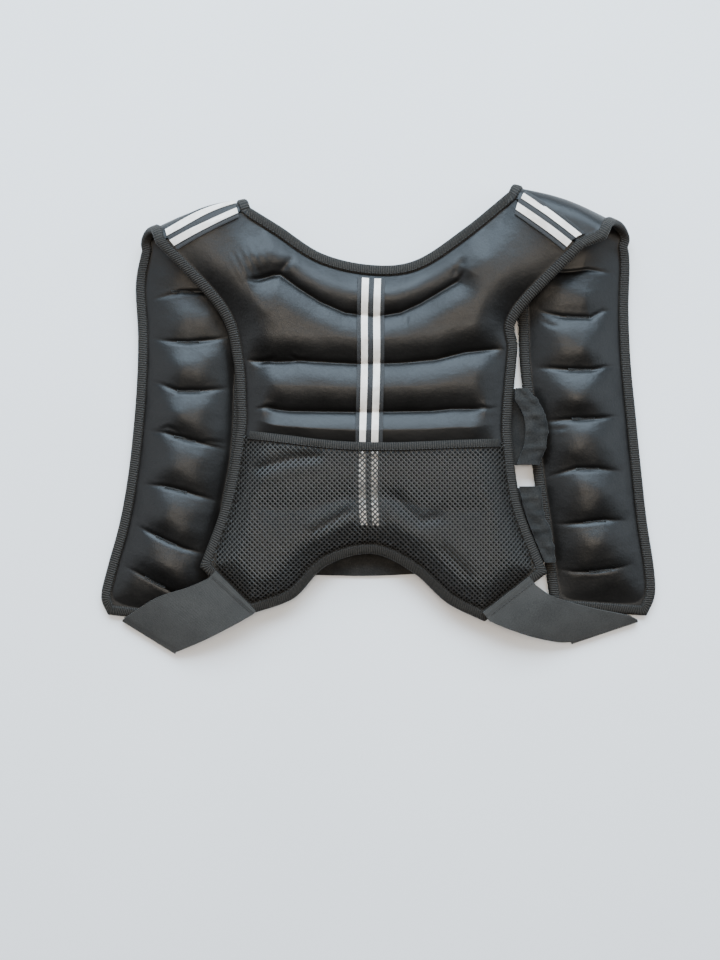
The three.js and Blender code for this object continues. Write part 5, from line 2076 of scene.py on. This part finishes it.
@dataclass
class SideStrap:
    """Elastic side strap: over the lower corner of the back, folded under, back to the front panel."""

    finishes: Finishes
    front: FrontPanel
    ends: Pair = (0.15, 0.75)
    overlap: float = 6.5
    columns: int = 24

    def sewn_end(self, first: Array) -> Array:
        """The end that is sewn down over the binding of the back's lower corner.

        Args:
            first: the two ends of the band's first line.

        Returns:
            The same two ends, moved over the binding to its inner rim.
        """
        back = self.front.back.surface
        left = self.front.side is Side.LEFT
        s = np.array([0.0, 0.2]) if left else np.array([1.0, 0.8])
        edge = back.middle(s, np.zeros(2))
        way = unit((edge[1] - edge[0]) * [1, 1, 0])
        out = np.array([way[1], -way[0], 0.0]) * (1 if left else -1)
        out = -out if out[1] > 0 else out
        past = (first - edge[0]) @ out
        moved = first - out * (past + self.overlap)[:, None]
        moved[:, 2] = np.interp((moved - edge[0]) @ way, [0, np.linalg.norm(edge[1] - edge[0])], edge[:, 2])
        moved[:, 2] += SIZES.skin + SIZES.elastic_thickness / 2 + 0.9
        return moved

    def over_top(self) -> list[Array]:
        """The upper and the lower edge over the pads, each a smooth curve through the band's lines."""
        rows = SIDE_STRAPS[self.front.side]
        at = np.arange(len(rows))
        v = np.linspace(0, len(rows) - 1, 70)
        high = curve_at(at, np.array([row.z for row in rows]) * SIZES.rest_height, v)
        edges = []
        for ends in ([row.upper for row in rows], [row.lower for row in rows]):
            x, y = (np.array(ends) * PLAN_SCALE).T
            edges.append(np.stack([curve_at(at, x, v), curve_at(at, y, v), high], 1))
        return edges

    def turned_under(self, fold: Array, low: float) -> list[Array]:
        """Half a turn at the crease, bulging out by the crease radius.

        Args:
            fold: the two ends of the crease, upper edge first.
            low: height of the band's middle below the crease.

        Returns:
            Points of the upper and of the lower edge.
        """
        before = np.array(SIDE_STRAPS[self.front.side][-2].upper) * PLAN_SCALE
        crease = unit(fold[1] - fold[0])
        out = np.append(fold[0][:2] - before, 0)
        out = unit(out - crease * (out @ crease))
        angle = np.linspace(0, math.pi, 13)[1:]
        bends = []
        for end in fold:
            turn = end + out * (SIZES.crease_radius * np.sin(angle))[:, None]
            turn[:, 2] = (end[2] + low) / 2 + (end[2] - low) / 2 * np.cos(angle)
            bends.append(turn)
        return bends

    def grid(self) -> Array:
        """The band's middle surface: sewn end, over the pads, under at the crease, on to the front's hem."""
        z = SIZES
        low = z.elastic_thickness / 2 + z.clearance
        edges = self.over_top()
        bends = self.turned_under(np.array([edge[-1] for edge in edges]), low)
        sewn = self.sewn_end(np.array([edge[0] for edge in edges]))
        surface = self.front.surface
        s = np.array(self.ends)
        hem = surface.middle(s, np.full(2, surface.rows))
        away = unit((hem - surface.middle(s, np.full(2, surface.rows - 0.1))) * [1, 1, 0])
        last = hem + away * (z.binding_clearance + z.binding_wall + 3 * z.clearance)
        last[:, 2] = low
        lead = np.linspace(0, 1, 9)[:-1, None]
        rest = np.linspace(0, 1, 16)[1:, None]
        lines = []
        for start, edge, bend, end in zip(sewn, edges, bends, last):
            under = bend[-1] + (end - bend[-1]) * rest
            lines.append(np.concatenate([start + (edge[0] - start) * lead, edge, bend, under]))
        across = np.linspace(0, 1, self.columns + 1)
        return lines[0][:, None] + (lines[1] - lines[0])[:, None] * across[None, :, None]

    def build(self) -> None:
        """The band with the ridge of its sewn end, and the stitches there."""
        grid = self.grid()
        normals = grid_normals(grid)
        normals = normals if normals[0, 0, 2] > 0 else -normals
        along = lengths_along(grid[:, self.columns // 2])
        wide = float(np.linalg.norm(grid[0, -1] - grid[0, 0]))
        half = SIZES.elastic_thickness / 2
        ridge = 0.5 * np.exp(-(((along - 3.2) / 0.9) ** 2)) + 0.35 * (1 - smooth_step(along / 5))
        upper = grid + normals * (half + ridge)[:, None, None]
        name = self.front.side.value
        weave = weave_lengths(along, np.linspace(0, 1, self.columns + 1) * wide)
        band = shell(f"side_elastic_{name}", upper, grid - normals * half, weave)
        band = band.place(self.finishes.elastic, (f"side_strap_{name}",), crisp=CRISP)
        seam = grid[:2].mean(0) + (grid[12] - grid[0]) * 0.42 + UP * (half + 0.25)
        thread = thread_beads(f"side_elastic_stitches_{name}", [seam[1:-1]], 2.2, 0.7)
        thread = thread.place(self.finishes.thread)


# Places along the vest of each closure strap's middle line, and places across of its rolled end
CLOSURES = {
    "upper": ((-0.03, -0.03, -0.02), (0.272, 0.302, 0.307, 0.292)),
    "lower": ((-0.25, -0.263, -0.232), (0.296, 0.3, 0.316, 0.321)),
}


@dataclass
class ClosureStrap:
    """Wide closure strap: flat below the back panel, its free end rolled back on itself."""

    finishes: Finishes
    name: str
    fronts: dict[Side, FrontPanel]
    back: BackSurface
    columns: int = 36
    flat_rows: int = 89
    bend_rows: int = 21
    tail_rows: int = 12

    @property
    def across(self) -> Array:
        """Places across the band, from 0 to 1."""
        return np.linspace(0, 1, self.columns + 1)

    def line_y(self, x: Array) -> Array:
        """Places along the vest of the band's threads, from the curve of its middle line.

        Args:
            x: place across the vest of each thread.

        Returns:
            One place per thread.
        """
        t = np.clip(0.5 + x / (0.6 * SIZES.width), 0, 1)
        middle = curve_at([0, 0.5, 1], np.array(CLOSURES[self.name][0]), t) * SIZES.length
        return middle + (0.5 - self.across) * SIZES.closure_width

    def flat_part(self, centre: Array) -> Array:
        """The band along the floor, then up by a smooth step before its roll.

        Args:
            centre: x of the roll's middle for each thread.

        Returns:
            The grid of points.
        """
        z = SIZES
        front = self.fronts[Side.LEFT].surface.edges[1]
        lower = front[FIRST_LOWER_POINT:]
        start_y = self.line_y(np.full_like(centre, -0.24 * z.width))
        start = np.interp(-start_y, -lower[:, 1], lower[:, 0]) + z.binding_wall + 3 * z.clearance
        t = np.linspace(0, 1, self.flat_rows + 1)[:-1, None]
        x = start + (centre - start) * t
        y = np.stack([self.line_y(row) for row in x])
        climb = smooth_step((x - 0.19 * z.width) / (0.065 * z.width))
        return np.stack([x, y, blend(z.closure_thickness / 2 + z.clearance, z.closure_climb, climb)], -1)

    def rolled_part(self, centre: Array) -> Array:
        """Half a turn of the roll, a circle with a frayed radius, then the tail back over the band.

        Args:
            centre: x of the roll's middle for each thread.

        Returns:
            The grid of points.
        """
        z, w = SIZES, self.across
        angle = np.linspace(0, math.pi, self.bend_rows)[:, None]
        end_y = self.line_y(centre)
        fray = 0.5 * np.sin(w * 41) + 0.4 * np.sin(w * 87 + 1)
        x = centre + (z.roll_radius + 0.3 * fray) * np.sin(angle)
        height = z.closure_climb + z.roll_radius * (1 - np.cos(angle)) + 0 * w
        roll = np.stack([x, np.broadcast_to(end_y, x.shape), height], -1)
        right = self.back.edge_right
        right = right[right[:, 1] < 150]
        stop = np.interp(end_y, right[:, 1], right[:, 0]) + z.binding_wall + 6 * z.clearance
        last = x[-1]
        tail_x = np.minimum(last - 1, np.maximum(stop, last - z.closure_tail))
        tail = np.broadcast_to(roll[-1], (self.tail_rows, len(w), 3)).copy()
        tail[..., 0] = last + (tail_x - last) * np.linspace(0, 1, self.tail_rows + 1)[1:, None]
        return np.concatenate([roll, tail])

    def build(self) -> None:
        """The band, with waves and puckers in its rolled end."""
        z, w = SIZES, self.across
        reach = curve_at([0, 0.33, 0.67, 1], np.array(CLOSURES[self.name][1]), w) * z.width
        centre = reach - z.roll_radius - z.closure_thickness / 2
        grid = np.concatenate([self.flat_part(centre), self.rolled_part(centre)])
        normals = grid_normals(grid)
        along = lengths_along(grid[:, self.columns // 2])
        late = smooth_step((along - along[self.flat_rows - 1] + 6) / 8)[:, None]
        wave = np.sin(w * 19 + along[:, None] * 0.35) + 0.6 * np.sin(w * 43 - along[:, None] * 0.2)
        puckers = np.exp(-((np.sin(w * 15 + 0.8) / 0.35) ** 2))
        grid = grid + normals * ((0.4 * wave - 0.9 * puckers) * late)[..., None]
        wall = normals * z.closure_thickness / 2
        weave = weave_lengths(along, w * z.closure_width)
        piece = shell(f"closure_band_{self.name}", grid + wall, grid - wall, weave)
        made = piece.place(self.finishes.loop, (f"closure_strap_{self.name}",), crisp=CRISP)


# Stage


@dataclass(frozen=True)
class Lamp:
    """A rectangular light that faces the vest: place and size in metres, colour, and power in watts."""

    name: str
    place: Triple
    size: Pair
    colour: Triple
    power: float

    def build(self) -> None:
        """Adds the light."""
        data = bpy.data.lights.new(self.name, "AREA")
        data.shape = "RECTANGLE"
        data.size, data.size_y = self.size
        data.color = self.colour
        data.energy = self.power
        made = add_object(self.name, data)
        made.location = self.place
        made.rotation_mode = "QUATERNION"
        made.rotation_quaternion = (-Vector(self.place)).to_track_quat("-Z", "Y")


LAMPS = (
    Lamp("key", (0.0, 2.3, 1.9), (3.8, 1.9), (0.66, 0.83, 1.0), 335),
    Lamp("top", (0.0, 0.1, 3.2), (1.5, 1.3), (1.0, 0.87, 0.72), 66),
    Lamp("right fill", (2.4, 0.3, 1.5), (1.4, 2.4), (0.8, 0.9, 1.0), 42),
    Lamp("left fill", (-2.4, 0.2, 1.5), (1.4, 2.4), (0.9, 0.94, 1.0), 28),
)


@dataclass(frozen=True)
class Studio:
    """Floor, lights and camera. The camera looks straight down, and sizes are in metres."""

    camera_place: Triple = (-0.0166, -0.0594, 1.3)
    seen_length: float = 0.912
    sensor: float = 36.0
    floor_half: float = 4.0
    floor_height: float = -0.0007

    def floor(self) -> None:
        """Pale matt floor just below the vest."""
        mesh = bpy.data.meshes.new("floor")
        wide = self.floor_half
        corners = [(-wide, -wide), (wide, -wide), (wide, wide), (-wide, wide)]
        mesh.from_pydata([(x, y, self.floor_height) for x, y in corners], [], [(0, 1, 2, 3)])
        r = Recipe("pale_floor")
        shade = r.ramp(r.noise(3.0, 2.0), (0.86, 0.86, 0.86), (0.9, 0.9, 0.9))
        mesh.materials.append(r.finish(shade, 0.9, specular=0.1))
        add_object("floor", mesh)

    def surround(self) -> None:
        """Faint even light from all round."""
        world = bpy.data.worlds.new("surround")
        world.use_nodes = True
        background = world.node_tree.nodes["Background"]
        background.inputs[0].default_value = (0.9, 0.92, 1.0, 1)
        background.inputs[1].default_value = 0.04
        bpy.context.scene.world = world

    def camera(self) -> None:
        """Camera whose long side sees the given length at its own height above the floor."""
        data = bpy.data.cameras.new("camera")
        data.sensor_width = self.sensor
        x, y, height = self.camera_place
        data.lens = self.sensor * height / self.seen_length
        data.clip_start, data.clip_end = 0.05, 20
        camera = add_object("camera", data)
        camera.location = (x - PLAN_MIDDLE[0] / 1000, y - PLAN_MIDDLE[1] / 1000, height)
        bpy.context.scene.camera = camera

    def build(self) -> None:
        """Pale floor, cool key light from the neck side, warm light from above, and the camera."""
        self.floor()
        self.surround()
        for lamp in LAMPS:
            lamp.build()
        self.camera()


def main() -> None:
    """Builds the vest's pieces in order, then the stage."""
    logging.basicConfig(level=logging.INFO, format="%(name)s %(message)s")
    finishes = Finishes()
    surface = BackSurface()
    back = BackPanel(finishes, surface)
    back.build()
    lines = []
    for name, edge in (("binding_back", back.round_edge()), ("binding_neck", back.neck_edge())):
        edge.tape(f"{name}_tape").place(finishes.ribbed, (name,))
        lines += edge.stitches()
    thread_beads("back_binding_stitches", lines).place(finishes.thread)
    back.tape()
    NetPocket(finishes, surface).build()
    fronts = {}
    for side in Side:
        front = FrontPanel(finishes, side, back)
        front.build()
        edge = front.edge()
        edge.tape(f"front_binding_tape_{side.value}").place(finishes.ribbed, (f"binding_front_{side.value}",))
        thread_beads(f"front_binding_stitches_{side.value}", edge.stitches()).place(finishes.thread)
        front.shoulder_tape()
        front.tacks()
        fronts[side] = front
        SideStrap(finishes, front).build()
    for name in CLOSURES:
        ClosureStrap(finishes, name, fronts, surface).build()
    Studio().build()


if __name__ == "__main__":
    main()
